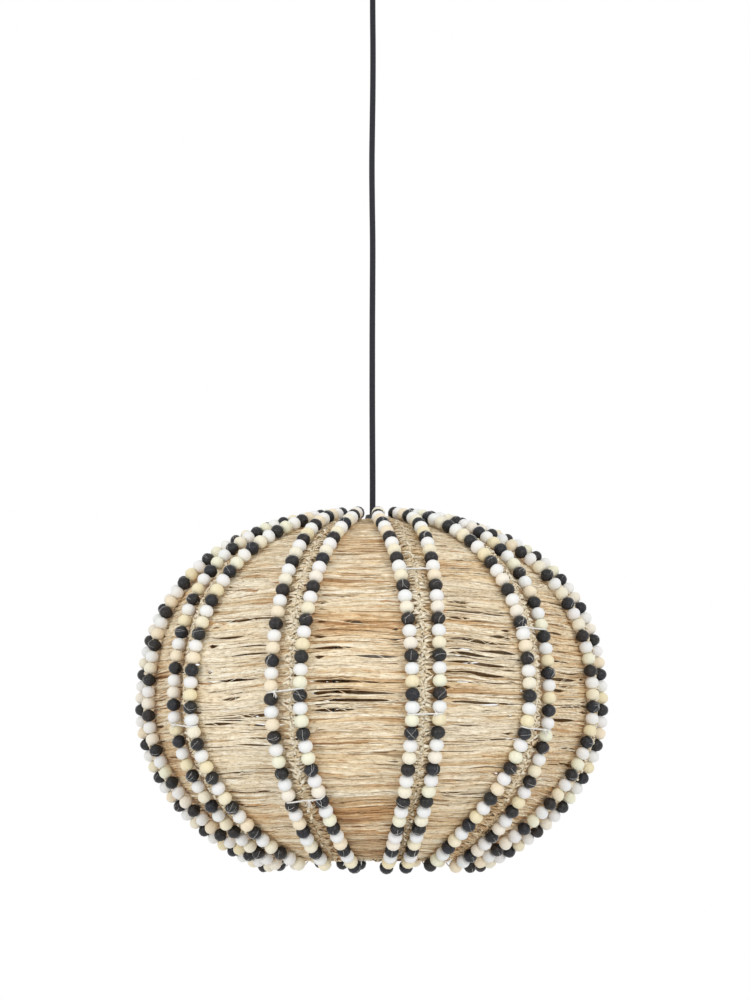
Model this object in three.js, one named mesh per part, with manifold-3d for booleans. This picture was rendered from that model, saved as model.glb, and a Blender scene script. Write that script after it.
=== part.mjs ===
// Raffia pendant lamp with bead strings, in millimetres, +Z up.
// The origin is the middle of the ceiling bracket's top face, and the lamp hangs below it.
// The shade is a cage of bent wires, wound with raffia and dressed with strings of wooden beads.

import * as THREE from 'three';
import { mergeVertices } from 'three/addons/utils/BufferGeometryUtils.js';
import Module from 'manifold-3d';

const wasm = await Module();
wasm.setup();

// Fits shared by all pieces
const seatGap = 0.3;
const turnGap = 0.5;
const overrun = 3;
const weldDistance = 1e-4;
const innerCornerShare = Math.SQRT2 - 1;
const wideSides = 24;
const smallSides = 12;

// Shade outline: the line that the raffia follows along each rib
const bellyRadius = 216;
const crownHeight = 178;
const baseDepth = 161.5;
const crownExponent = 2.4;
const baseExponent = 1.95;
const topEdgeRadius = 54;
const baseEdgeRadius = 105;
const raffiaThickness = 2.4;
const shellRows = 12;
const slopeReachShare = 0.25;

// Ribs: wires that stand round the shade, a few of them a little out of place
const ribCount = 12;
const ribWireRadius = 1.5;
const firstRibAngle = 11.5;
const ribStrayAngles = [0, -0.5, 0.7, 0, -0.5, 0];
const ringWireRadius = 2;
const ringDrop = 0.8;
const topRingSides = 24;
const bottomRingSides = 30;
const ribWireSides = 5;
const ringWireSides = 6;

// Bead strings: two beside each rib
const beadRadius = 6.2;
const beadPitch = 10.95;
const beadNeckRadius = 2.5;
const bellySides = 4;
const neckSides = 3;
const stringOverhang = 9;
const crownStationShare = 0.75;
const baseStationShare = 0.75;

// How far each string lies from its rib, in bead widths: at the crown, the belly, the base and the bottom ring.
// The rows are the six ribs of one half turn, left string first. The other half turn repeats them.
const stringOffsetShares = [
  { left: [1.35, 0.69, 0.77, 0.62], right: [1.38, 1.03, 0.62, 0.74] },
  { left: [1.41, 0.7, 2.16, 1.75], right: [0.9, 1.19, 0.72, 0.79] },
  { left: [2.42, 1.39, 2.42, 1.5], right: [0.62, 0.62, 0.75, 0.94] },
  { left: [1.13, 1.05, 0.97, 1.13], right: [1.15, 1.91, 2.33, 1.84] },
  { left: [1.19, 1.52, 0.62, 0.62], right: [1.7, 0.62, 1.36, 1.72] },
  { left: [0.85, 1.39, 0.84, 0.62], right: [1.34, 0.62, 1.39, 1.39] },
];

// Where a dark bead lies next to the belly on each string, in bead pitches below it and in the same order
const stringStartShares = [
  { left: 0.09, right: -0.01 },
  { left: -0.08, right: 0.97 },
  { left: 0.24, right: 0.36 },
  { left: 0.18, right: 0.89 },
  { left: 0.35, right: 0.71 },
  { left: 0.35, right: 0.13 },
];

// Cord
const cordRadius = 3;
const cordEaseShare = 0.1;
const cordBore = cordRadius * (1 + cordEaseShare) + seatGap;
const cordFreeLength = 567.4;
const cordSteps = 32;
const cordSides = 8;
const cordSwingAngle = 15;
const cordWave = 0.7;
const cordWaveShares = [0, 0.1, 0.5, 0.3, -0.4, -1, -0.6, 0.1, 0, -0.3, -0.4, -0.4, -0.2, 0.1, 0];

// Lampholder, measured up from the widest level of the shade
const fitterHeight = 146;
const fitterThickness = 1.5;
const fitterRadius = 26;
const spiderArms = 3;
const armWireRadius = 2;
const armSides = 6;
const armBendShares = [[0, 0], [0.35, 0], [0.5, 0.15], [0.62, 0.85], [0.75, 1], [1, 1]];
const holderRadius = 19.5;
const holderLength = 32;
const shoulderRadius = 23;
const shoulderThickness = 3.2;
const holderWall = 3.6;
const capHeight = 27;
const capWall = 2.8;
const capNeckRadius = 9;
const capShoulderShare = 0.45;
const insertRadius = 17.5;
const insertThickness = 9;
const insertStemRadius = 7;
const screwShellWall = 0.6;
const screwShellLength = 26;
const shadeRingRadius = 28;
const shadeRingThickness = 8;
const shadeRingLip = 3;
const contactRadius = 4;
const contactThickness = 0.8;

// Bulb
const bulbCapRadius = 13.2;
const bulbCapLength = 22;
const bulbTipRadius = 4.5;
const bulbTipLength = 2.2;
const bulbRadius = 30;
const bulbLength = 86;
const bulbWall = 1;
const bulbNeckInsert = 6;
const bulbSides = 16;
const bulbOutlineShares = [
  [0.55, 0.9], [0.78, 0.72], [0.97, 0.5], [1, 0.36], [0.93, 0.2], [0.72, 0.07], [0.4, 0.01],
];

// Cord grips, alike at both ends of the cord
const gripFlangeRadius = 8;
const gripFlangeThickness = 2.4;
const gripStemRadius = 4.8;
const gripStemLength = 8;
const gripMouthRadius = 5.8;
const gripMouthDepth = 6;
const gripBodyLength = 10;
const gripLipWall = 1;

// Ceiling fitting
const cupRadius = 50;
const cupDepth = 42;
const cupWall = 1.2;
const cupCorner = 6;
const cupSides = 28;
const bracketWidth = 14;
const bracketThickness = 2;
const bracketTab = 16;
const bracketScrewRadius = 2.25;
const bracketScrewSpacing = 56;
const sideScrewRadius = 1.9;
const sideScrewDepth = 10;
const sideScrewHeadRadius = 4.2;
const sideScrewHeadLength = 3;
const nutAcross = 16;
const nutThickness = 4;
const terminalLength = 30;
const terminalWidth = 16;
const terminalHeight = 11;
const terminalStepShare = 0.35;

const rad = THREE.MathUtils.degToRad;

// Materials, one for each finish
function finish(color, roughness, metalness) {
  return new THREE.MeshStandardMaterial({ color, roughness, metalness, flatShading: true });
}
const finishes = {
  raffia: finish(0xd8b986, 0.85, 0),
  beads: finish(0xeadfca, 0.6, 0),
  wire: finish(0x4a4a4c, 0.5, 0.7),
  plastic: finish(0x26272a, 0.45, 0),
  ceramic: finish(0xece8df, 0.4, 0),
  brass: finish(0xc7a04c, 0.35, 0.9),
  bulbCap: finish(0xb9bbbd, 0.3, 0.9),
  glass: finish(0xf5f1e6, 0.25, 0),
  cord: finish(0x42434b, 0.9, 0),
  cup: finish(0x2d2e31, 0.5, 0.3),
  steel: finish(0xa9abad, 0.4, 0.8),
};

// Geometry helpers
function signedVolume(positions, triangles) {
  let volume = 0;
  const a = new THREE.Vector3();
  const b = new THREE.Vector3();
  const c = new THREE.Vector3();
  for (let i = 0; i < triangles.length; i += 3) {
    a.fromArray(positions, 3 * triangles[i]);
    b.fromArray(positions, 3 * triangles[i + 1]);
    c.fromArray(positions, 3 * triangles[i + 2]);
    volume += a.dot(b.cross(c)) / 6;
  }
  return volume;
}

// A closed geometry with shared vertices, no empty triangles and its faces pointing out
function closed(geometry) {
  const bare = geometry.clone();
  bare.deleteAttribute('normal');
  bare.deleteAttribute('uv');
  const merged = mergeVertices(bare, weldDistance);
  const source = merged.index.array;
  const triangles = [];
  for (let i = 0; i < source.length; i += 3) {
    const [a, b, c] = [source[i], source[i + 1], source[i + 2]];
    if (a !== b && b !== c && c !== a) {
      triangles.push(a, b, c);
    }
  }
  if (signedVolume(merged.attributes.position.array, triangles) < 0) {
    triangles.reverse();
  }
  merged.setIndex(triangles);
  merged.computeVertexNormals();
  return merged;
}

// A skin over a row of rings, which may have different numbers of points, with a flat cap at each end
function loft(rings) {
  const positions = [];
  const starts = [];
  for (const ring of rings) {
    starts.push(positions.length / 3);
    for (const point of ring) {
      positions.push(point.x, point.y, point.z);
    }
  }
  const triangles = [];
  for (let r = 0; r + 1 < rings.length; r += 1) {
    const near = rings[r].length;
    const far = rings[r + 1].length;
    let i = 0;
    let j = 0;
    while (i < near || j < far) {
      const here = starts[r] + (i % near);
      const there = starts[r + 1] + (j % far);
      if (j >= far || (i < near && (i + 1) / near <= (j + 1) / far)) {
        i += 1;
        triangles.push(here, starts[r] + (i % near), there);
      } else {
        j += 1;
        triangles.push(here, starts[r + 1] + (j % far), there);
      }
    }
  }
  const last = rings.length - 1;
  for (let k = 1; k + 1 < rings[0].length; k += 1) {
    triangles.push(starts[0], starts[0] + k + 1, starts[0] + k);
  }
  for (let k = 1; k + 1 < rings[last].length; k += 1) {
    triangles.push(starts[last], starts[last] + k, starts[last] + k + 1);
  }
  const geometry = new THREE.BufferGeometry();
  geometry.setAttribute('position', new THREE.Float32BufferAttribute(positions, 3));
  geometry.setIndex(triangles);
  return closed(geometry);
}

// One ring of a loft: points round a centre, the first of them along the first axis
function ringAt(centre, axisA, axisB, radius, sides) {
  const ring = [];
  for (let k = 0; k < sides; k += 1) {
    const angle = (2 * Math.PI * k) / sides;
    const point = centre.clone();
    point.addScaledVector(axisA, radius * Math.cos(angle));
    point.addScaledVector(axisB, radius * Math.sin(angle));
    ring.push(point);
  }
  return ring;
}

// A wire of one thickness through a list of points. The reference direction lies across the wire.
function wire(points, reference, radius, sides) {
  const rings = points.map((point, i) => {
    const before = points[Math.max(i - 1, 0)];
    const after = points[Math.min(i + 1, points.length - 1)];
    const along = after.clone().sub(before).normalize();
    const across = reference.clone().addScaledVector(along, -reference.dot(along)).normalize();
    const third = along.clone().cross(across);
    return ringAt(point, across, third, radius, sides);
  });
  return loft(rings);
}

// A body of revolution from [radius, height] pairs
function turned(pairs, segments, close = false) {
  const points = pairs.map(([radius, height]) => new THREE.Vector2(radius, height));
  if (close) {
    points.push(points[0].clone());
  }
  const geometry = new THREE.LatheGeometry(points, segments);
  geometry.rotateX(Math.PI / 2);
  return closed(geometry);
}

function rod(radius, length, segments) {
  const geometry = new THREE.CylinderGeometry(radius, radius, length, segments);
  geometry.rotateX(Math.PI / 2);
  return closed(geometry);
}

function toManifold(geometry) {
  return new wasm.Manifold(new wasm.Mesh({
    numProp: 3,
    vertProperties: new Float32Array(geometry.attributes.position.array),
    triVerts: new Uint32Array(geometry.index.array),
  }));
}

function fromManifold(solid) {
  const mesh = solid.getMesh();
  const geometry = new THREE.BufferGeometry();
  geometry.setAttribute('position', new THREE.BufferAttribute(mesh.vertProperties, 3));
  geometry.setIndex(new THREE.BufferAttribute(mesh.triVerts, 1));
  return closed(geometry);
}

function cut(body, tools) {
  return fromManifold(tools.reduce((solid, tool) => solid.subtract(toManifold(tool)), toManifold(body)));
}

function join(bodies) {
  const [first, ...rest] = bodies.map(toManifold);
  return fromManifold(rest.reduce((solid, body) => solid.add(body), first));
}

// Shade outline: samples of radius, height and length along the line, which is zero at the widest level
const outlineSamples = 240;

function outline() {
  const half = (height, exponent, edge, sign) => {
    const start = Math.asin((edge / bellyRadius) ** (exponent / 2));
    const row = [];
    for (let i = 0; i <= outlineSamples; i += 1) {
      const angle = start + ((Math.PI / 2 - start) * i) / outlineSamples;
      const radius = bellyRadius * Math.sin(angle) ** (2 / exponent);
      const rise = height * Math.max(Math.cos(angle), 0) ** (2 / exponent);
      row.push({ radius, height: sign * rise });
    }
    return row;
  };
  const upper = half(crownHeight, crownExponent, topEdgeRadius, 1);
  const lower = half(baseDepth, baseExponent, baseEdgeRadius, -1).reverse();
  const samples = [...upper, ...lower.slice(1)];
  samples[0].length = 0;
  for (let i = 1; i < samples.length; i += 1) {
    const step = Math.hypot(samples[i].radius - samples[i - 1].radius, samples[i].height - samples[i - 1].height);
    samples[i].length = samples[i - 1].length + step;
  }
  const middle = samples[outlineSamples].length;
  samples.forEach((sample) => {
    sample.length -= middle;
  });
  return samples;
}

const shadeLine = outline();
const crownEnd = shadeLine[0].length;
const baseEnd = shadeLine[shadeLine.length - 1].length;

// Radius and height at a length along the line, which runs straight on past its ends
function onShadeLine(length) {
  let i = 1;
  while (i < shadeLine.length - 1 && shadeLine[i].length < length) {
    i += 1;
  }
  const a = shadeLine[i - 1];
  const b = shadeLine[i];
  const share = (length - a.length) / (b.length - a.length);
  const radius = a.radius + (b.radius - a.radius) * share;
  const height = a.height + (b.height - a.height) * share;
  return { radius, height };
}

// Unit direction of the shade line, down and outwards at the crown
function slopeOfShadeLine(length) {
  const reach = beadRadius * slopeReachShare;
  const at = Math.min(Math.max(length, crownEnd + reach), baseEnd - reach);
  const a = onShadeLine(at - reach);
  const b = onShadeLine(at + reach);
  const size = Math.hypot(b.radius - a.radius, b.height - a.height);
  return { out: (b.radius - a.radius) / size, up: (b.height - a.height) / size };
}

// Rib directions, counted from the front and anticlockwise seen from above
const ribTurns = [];
for (let k = 0; k < ribCount; k += 1) {
  const stray = rad(ribStrayAngles[k % ribStrayAngles.length]);
  ribTurns.push(rad(firstRibAngle) + (2 * Math.PI * k) / ribCount + stray);
}

// Outward direction at a turn from the front, which faces -Y
function outward(turn) {
  return new THREE.Vector3(Math.sin(turn), -Math.cos(turn), 0);
}

// Half the angle between two ribs, for the even case and for the widest pair
const halfGore = Math.PI / ribCount;
const gaps = ribTurns.map((turn, k) => (
  k + 1 < ribCount ? ribTurns[k + 1] - turn : ribTurns[0] + 2 * Math.PI - turn
));
const widestHalfGore = Math.max(...gaps) / 2;

// Point on a rib's line, sunk below the raffia's outer face
function ribPoint(turn, length, depth) {
  const { radius, height } = onShadeLine(length);
  const slope = slopeOfShadeLine(length);
  const point = outward(turn).multiplyScalar(radius + depth * slope.up);
  point.z = height - depth * slope.out;
  return point;
}

const rowLengths = [];
for (let i = 0; i <= shellRows; i += 1) {
  rowLengths.push(crownEnd + ((baseEnd - crownEnd) * i) / shellRows);
}
const ribDepth = (raffiaThickness + seatGap + ribWireRadius) / Math.cos(halfGore);

// How far a rib runs on past the raffia's edge, which is straight between ribs and so cuts inside a ring
function ribOverhang(length) {
  const { radius } = onShadeLine(length);
  return radius * (1 - Math.cos(widestHalfGore)) * Math.abs(slopeOfShadeLine(length).out);
}

// Point past an end of the shade line, sunk below the raffia's outer face
function pastEnd(length, direction, beyond, depth) {
  const { radius, height } = onShadeLine(length);
  const slope = slopeOfShadeLine(length);
  return {
    radius: radius + depth * slope.up + direction * beyond * slope.out,
    height: height - depth * slope.out + direction * beyond * slope.up,
  };
}

// Raffia skin between two lengths of the shade line: flat between neighbouring ribs, open above and below
function raffiaSkin(start, end) {
  const rows = [start, ...rowLengths.filter((length) => length > start && length < end), end];
  const skin = (depth) => rows.map((length) => ribTurns.map((turn) => ribPoint(turn, length, depth)));
  const outer = skin(0);
  const inner = skin(raffiaThickness / Math.cos(halfGore)).reverse();
  const loop = [...outer, ...inner];
  const positions = loop.flat().flatMap((point) => [point.x, point.y, point.z]);
  const triangles = [];
  for (let r = 0; r < loop.length; r += 1) {
    const next = (r + 1) % loop.length;
    for (let k = 0; k < ribCount; k += 1) {
      const a = r * ribCount + k;
      const b = r * ribCount + ((k + 1) % ribCount);
      const c = next * ribCount + ((k + 1) % ribCount);
      const d = next * ribCount + k;
      triangles.push(a, b, c, a, c, d);
    }
  }
  const geometry = new THREE.BufferGeometry();
  geometry.setAttribute('position', new THREE.Float32BufferAttribute(positions, 3));
  geometry.setIndex(triangles);
  return closed(geometry);
}

// Rib wire, bent to the shade's outline, inside the raffia
function rib(turn) {
  const end = (length, direction) => {
    const { radius, height } = pastEnd(length, direction, ribOverhang(length), ribDepth);
    return outward(turn).multiplyScalar(radius).setZ(height);
  };
  const points = rowLengths.map((length) => ribPoint(turn, length, ribDepth));
  const across = outward(turn + Math.PI / 2);
  return wire([end(crownEnd, -1), ...points, end(baseEnd, 1)], across, ribWireRadius, ribWireSides);
}

// Ring that the ribs end on, past the end at the given length of the shade line
function ringCentre(length, direction) {
  return pastEnd(length, direction, ribOverhang(length) + ringWireRadius + seatGap, ribDepth + ringDrop);
}

function wireRing({ radius, height }, segments) {
  const section = [];
  for (let k = 0; k < ringWireSides; k += 1) {
    const angle = (2 * Math.PI * k) / ringWireSides;
    section.push([radius + ringWireRadius * Math.cos(angle), height + ringWireRadius * Math.sin(angle)]);
  }
  return turned(section, segments, true);
}

const topRing = ringCentre(crownEnd, -1);
const bottomRing = ringCentre(baseEnd, 1);

// Smooth curve through stations, level at each one where its neighbours turn back
function throughStations(stations, length) {
  let i = 0;
  while (i < stations.length - 2 && length > stations[i + 1].length) {
    i += 1;
  }
  const a = stations[i];
  const b = stations[i + 1];
  const share = Math.min(Math.max((length - a.length) / (b.length - a.length), 0), 1);
  const ease = share * share * (3 - 2 * share);
  return a.value + (b.value - a.value) * ease;
}

// Route of one bead string, as points with the skin's outward direction at each
function stringRoute(ribIndex, side) {
  const turn = ribTurns[ribIndex];
  const neighbour = ribTurns[(ribIndex + side + ribCount) % ribCount];
  const full = (side * (neighbour - turn) + 2 * Math.PI) % (2 * Math.PI);
  const half = full / 2;
  const middle = turn + side * half;
  const away = outward(middle + (side * Math.PI) / 2);
  const shares = stringOffsetShares[ribIndex % stringOffsetShares.length][side < 0 ? 'left' : 'right'];
  const [crown, belly, base, end] = shares.map((share) => 2 * beadRadius * share);
  const evenSpacing = (topEdgeRadius * Math.sin(half)) / 2;
  const stations = [
    { length: crownEnd, value: evenSpacing },
    { length: crownEnd * crownStationShare, value: crown },
    { length: 0, value: belly },
    { length: baseEnd * baseStationShare, value: base },
    { length: baseEnd, value: end },
  ];
  const route = [];
  let travelled = 0;
  for (let i = 0; i <= outlineSamples; i += 1) {
    const length = crownEnd + ((baseEnd + stringOverhang - crownEnd) * i) / outlineSamples;
    const { radius, height } = onShadeLine(length);
    const slope = slopeOfShadeLine(length);
    const flat = Math.hypot(slope.out * Math.cos(half), slope.up);
    const normal = outward(middle).multiplyScalar(-slope.up / flat);
    normal.z = (slope.out * Math.cos(half)) / flat;
    const point = outward(middle).multiplyScalar(radius * Math.cos(half));
    point.addScaledVector(away, throughStations(stations, length) - radius * Math.sin(half));
    point.z = height;
    point.addScaledVector(normal, beadRadius + seatGap);
    if (i > 0) {
      travelled += point.distanceTo(route[i - 1].point);
    }
    route.push({ point, normal, travelled });
  }
  return route;
}

// One string of beads: a swelling for each bead and a waist where two beads meet
function beadString(ribIndex, side) {
  const route = stringRoute(ribIndex, side);
  const starts = stringStartShares[ribIndex % stringStartShares.length];
  const start = beadPitch * (side < 0 ? starts.left : starts.right);
  const middleIndex = route.findIndex(({ point }) => point.z <= 0);
  const middle = route[middleIndex].travelled;
  const first = Math.ceil((-middle - start) / beadPitch + 0.5);
  const last = Math.floor((route[route.length - 1].travelled - middle - start) / beadPitch - 0.5);
  const frameAt = (distance) => {
    const goal = distance + middle;
    let i = 1;
    while (i < route.length - 1 && route[i].travelled < goal) {
      i += 1;
    }
    const a = route[i - 1];
    const b = route[i];
    const share = (goal - a.travelled) / (b.travelled - a.travelled);
    const centre = a.point.clone().lerp(b.point, share);
    const along = b.point.clone().sub(a.point).normalize();
    const normal = a.normal.clone().addScaledVector(along, -a.normal.dot(along)).normalize();
    return { centre, normal, across: along.clone().cross(normal) };
  };
  const rings = [];
  for (let n = first; n <= last; n += 1) {
    const waist = frameAt(start + (n - 0.5) * beadPitch);
    const bead = frameAt(start + n * beadPitch);
    rings.push(ringAt(waist.centre, waist.normal, waist.across, beadNeckRadius, neckSides));
    rings.push(ringAt(bead.centre, bead.normal, bead.across, beadRadius, bellySides));
  }
  const end = frameAt(start + (last + 0.5) * beadPitch);
  rings.push(ringAt(end.centre, end.normal, end.across, beadNeckRadius, neckSides));
  return loft(rings);
}

// Spider: a flat fitter ring for the lampholder on three bent arms that reach the top ring
const fitterBore = holderRadius + turnGap + seatGap;

function spider() {
  const top = fitterHeight + fitterThickness;
  const washer = turned([
    [fitterBore, fitterHeight],
    [fitterRadius, fitterHeight],
    [fitterRadius, top],
    [fitterBore, top],
  ], wideSides, true);
  const armStart = fitterRadius - armWireRadius;
  const armEnd = (topRing.radius - ringWireRadius) * Math.cos(Math.PI / topRingSides) - seatGap;
  const armFoot = fitterHeight + armWireRadius;
  const rise = topRing.height - armFoot;
  const run = armEnd - armStart;
  const arms = [];
  for (let k = 0; k < spiderArms; k += 1) {
    const turn = ribTurns[(k * ribCount) / spiderArms];
    const points = armBendShares.map(([runShare, riseShare]) => {
      const point = outward(turn).multiplyScalar(armStart + run * runShare);
      point.z = armFoot + rise * riseShare;
      return point;
    });
    arms.push(wire(points, outward(turn + Math.PI / 2), armWireRadius, armSides));
  }
  return join([washer, ...arms]);
}

// Lampholder body: a threaded skirt below the fitter ring and a shoulder that rests on it
const shoulderFoot = fitterHeight + fitterThickness + seatGap;
const holderTop = shoulderFoot + shoulderThickness;
const holderFoot = holderTop - shoulderThickness - holderLength;
const holderBore = holderRadius - holderWall;
const stemBore = insertStemRadius + seatGap;
const socketRoof = holderTop - shoulderThickness - holderWall;

function lampholderBody() {
  return turned([
    [holderBore, holderFoot],
    [holderRadius, holderFoot],
    [holderRadius, shoulderFoot],
    [shoulderRadius, shoulderFoot],
    [shoulderRadius, holderTop],
    [stemBore, holderTop],
    [stemBore, socketRoof],
    [holderBore, socketRoof],
  ], wideSides, true);
}

// Brass sleeve in the socket, which the bulb's cap screws into
const shellOuter = holderBore - seatGap;
const shellInner = shellOuter - screwShellWall;

function screwShell() {
  const top = socketRoof - seatGap;
  return turned([
    [shellInner, top - screwShellLength],
    [shellOuter, top - screwShellLength],
    [shellOuter, top],
    [shellInner, top],
  ], wideSides, true);
}

// Ceramic insert that carries the terminals, with a stem down into the socket
const insertFoot = holderTop + seatGap;
const insertTop = insertFoot + insertThickness;
const stemFoot = socketRoof;

function contactInsert() {
  return turned([
    [0, stemFoot],
    [insertStemRadius, stemFoot],
    [insertStemRadius, insertFoot],
    [insertRadius, insertFoot],
    [insertRadius, insertTop],
    [0, insertTop],
  ], wideSides);
}

function centreContact() {
  const top = stemFoot - seatGap;
  return turned([
    [0, top - contactThickness],
    [contactRadius, top - contactThickness],
    [contactRadius, top],
    [0, top],
  ], smallSides);
}

// Domed cap over the terminals
const capFoot = insertFoot;
const capTop = capFoot + capHeight;
const gripHole = gripStemRadius + seatGap;

function lampholderCap() {
  const shoulder = capHeight * capShoulderShare;
  return turned([
    [shoulderRadius - capWall, capFoot],
    [shoulderRadius, capFoot],
    [shoulderRadius, capFoot + shoulder],
    [(shoulderRadius + capNeckRadius) / 2 + capWall, capTop - capWall],
    [capNeckRadius, capTop],
    [gripHole, capTop],
    [gripHole, capTop - capWall],
    [(shoulderRadius + capNeckRadius) / 2, capTop - 2 * capWall],
    [shoulderRadius - capWall, capFoot + shoulder - capWall * innerCornerShare],
  ], wideSides, true);
}

// Ring that screws on the skirt and clamps the fitter
function shadeRing() {
  const top = fitterHeight - seatGap;
  const bore = holderRadius + turnGap + seatGap / 2;
  return turned([
    [bore, top - shadeRingThickness],
    [bore + shadeRingLip, top - shadeRingThickness],
    [shadeRingRadius, top - shadeRingLip],
    [shadeRingRadius, top],
    [bore, top],
  ], wideSides, true);
}

// Bulb: a screw cap with a centre tip, and a hollow glass held in the cap
const bulbTipTop = stemFoot - seatGap - contactThickness - seatGap;
const bulbCapTop = bulbTipTop - bulbTipLength;
const bulbCapFoot = bulbCapTop - bulbCapLength;
const bulbNeckRadius = bulbCapRadius - bulbWall - seatGap;

function bulbCap() {
  return turned([
    [0, bulbCapTop - bulbWall],
    [bulbCapRadius - bulbWall, bulbCapTop - bulbWall],
    [bulbCapRadius - bulbWall, bulbCapFoot],
    [bulbCapRadius, bulbCapFoot],
    [bulbCapRadius, bulbCapTop - bulbTipLength],
    [bulbTipRadius, bulbCapTop],
    [bulbTipRadius, bulbTipTop],
    [0, bulbTipTop],
  ], wideSides);
}

function bulbGlass() {
  const foot = bulbCapFoot - bulbLength;
  const neckTop = bulbCapFoot + bulbNeckInsert;
  const outside = bulbOutlineShares.map(([radiusShare, share]) => [
    bulbRadius * radiusShare,
    foot + bulbLength * share,
  ]);
  const inside = bulbOutlineShares.map(([radiusShare, share]) => [
    bulbRadius * radiusShare - bulbWall,
    foot + bulbWall + (bulbLength - bulbWall) * share,
  ]);
  return turned([
    [0, foot + bulbWall],
    ...inside.reverse(),
    [bulbNeckRadius - bulbWall, bulbCapFoot],
    [bulbNeckRadius - bulbWall, neckTop],
    [bulbNeckRadius, neckTop],
    [bulbNeckRadius, bulbCapFoot],
    ...outside,
    [0, foot],
  ], bulbSides);
}

// Cord grip with a flared mouth, drawn with the mouth up and the pivot at height zero
function cordGrip() {
  const lip = gripMouthRadius + gripLipWall;
  const top = gripMouthDepth;
  const flangeTop = top - gripBodyLength + gripFlangeThickness;
  const flangeFoot = flangeTop - gripFlangeThickness;
  const foot = flangeFoot - gripStemLength;
  return turned([
    [cordBore, foot],
    [gripStemRadius, foot],
    [gripStemRadius, flangeFoot],
    [gripFlangeRadius, flangeFoot],
    [gripFlangeRadius, flangeTop],
    [lip, top],
    [gripMouthRadius, top],
    [cordBore, 0],
  ], smallSides, true);
}
const gripFlangeBelowPivot = gripBodyLength - gripMouthDepth;
const pivotHeight = capTop + seatGap + gripFlangeBelowPivot;

// Free stretch of the cord, taut between the pivots
function cordRoute(topHeight) {
  const last = cordWaveShares.length - 1;
  const points = cordWaveShares.map((share, i) => new THREE.Vector3(
    cordWave * share,
    0,
    topHeight - (cordFreeLength * i) / last,
  ));
  return new THREE.CatmullRomCurve3(points);
}

function cord(topHeight) {
  const section = [];
  for (let k = 0; k < cordSides; k += 1) {
    const angle = (2 * Math.PI * k) / cordSides;
    section.push(new THREE.Vector2(cordRadius * Math.cos(angle), cordRadius * Math.sin(angle)));
  }
  const options = { steps: cordSteps, bevelEnabled: false, extrudePath: cordRoute(topHeight) };
  return closed(new THREE.ExtrudeGeometry(new THREE.Shape(section), options));
}

// Room that the cord's square end needs as it swings
const tailClearance = cordRadius * Math.sin(rad(cordSwingAngle)) + seatGap;

// A short fixed stretch of the same cord
function cordTail(foot, top) {
  const geometry = rod(cordRadius, top - foot, cordSides);
  geometry.translate(0, 0, (foot + top) / 2);
  return geometry;
}

// Ceiling cup: open at the top, with a hole for the grip and two for its side screws
const sideScrewHole = sideScrewRadius + seatGap;

function sideHole(radius, reach) {
  const tool = rod(radius, 2 * reach, smallSides);
  tool.rotateY(Math.PI / 2);
  tool.translate(0, 0, -sideScrewDepth);
  return tool;
}

function ceilingCup() {
  const foot = -cupDepth;
  const inner = cupRadius - cupWall;
  const body = turned([
    [gripHole, foot],
    [cupRadius - cupCorner, foot],
    [cupRadius, foot + cupCorner],
    [cupRadius, -seatGap],
    [inner, -seatGap],
    [inner, foot + cupCorner + cupWall * innerCornerShare],
    [cupRadius - cupCorner - cupWall * innerCornerShare, foot + cupWall],
    [gripHole, foot + cupWall],
  ], cupSides, true);
  return cut(body, [sideHole(sideScrewHole, cupRadius + overrun)]);
}

// Bracket: a strap on the ceiling with a tab down at each end
const tabFace = cupRadius - cupWall - seatGap - turnGap;

function ceilingBracket() {
  const outline2d = new THREE.Shape([
    [-tabFace, 0],
    [tabFace, 0],
    [tabFace, -bracketTab],
    [tabFace - bracketThickness, -bracketTab],
    [tabFace - bracketThickness, -bracketThickness],
    [bracketThickness - tabFace, -bracketThickness],
    [bracketThickness - tabFace, -bracketTab],
    [-tabFace, -bracketTab],
  ].map(([x, z]) => new THREE.Vector2(x, z)));
  const body = new THREE.ExtrudeGeometry(outline2d, { depth: bracketWidth, bevelEnabled: false });
  body.translate(0, 0, -bracketWidth / 2);
  body.rotateX(Math.PI / 2);
  const tools = [sideHole(sideScrewHole, cupRadius + overrun)];
  for (const side of [-1, 1]) {
    const hole = rod(bracketScrewRadius, bracketThickness + 2 * overrun, smallSides);
    hole.translate((side * bracketScrewSpacing) / 2, 0, -bracketThickness / 2);
    tools.push(hole);
  }
  return cut(closed(body), tools);
}

// Side screw of the cup, drawn along +X with the underside of its head at zero
function sideScrew() {
  const shank = cupWall + turnGap + 2 * seatGap + bracketThickness + seatGap;
  const geometry = turned([
    [0, -shank],
    [sideScrewRadius, -shank],
    [sideScrewRadius, 0],
    [sideScrewHeadRadius, 0],
    [sideScrewHeadRadius, sideScrewHeadLength],
    [0, sideScrewHeadLength],
  ], smallSides);
  geometry.rotateY(Math.PI / 2);
  return geometry;
}

// Lock nut of the ceiling grip, inside the cup
function gripNut() {
  const shape = new THREE.Shape();
  const hole = new THREE.Path();
  for (let k = 0; k < 6; k += 1) {
    const angle = (Math.PI * k) / 3;
    const corner = nutAcross / 2 / Math.cos(Math.PI / 6);
    const move = k === 0 ? 'moveTo' : 'lineTo';
    shape[move](corner * Math.cos(angle), corner * Math.sin(angle));
  }
  hole.absarc(0, 0, gripHole, 0, 2 * Math.PI, true);
  shape.closePath();
  shape.holes.push(hole);
  const geometry = new THREE.ExtrudeGeometry(shape, { depth: nutThickness, bevelEnabled: false, curveSegments: 6 });
  return closed(geometry);
}

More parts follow.
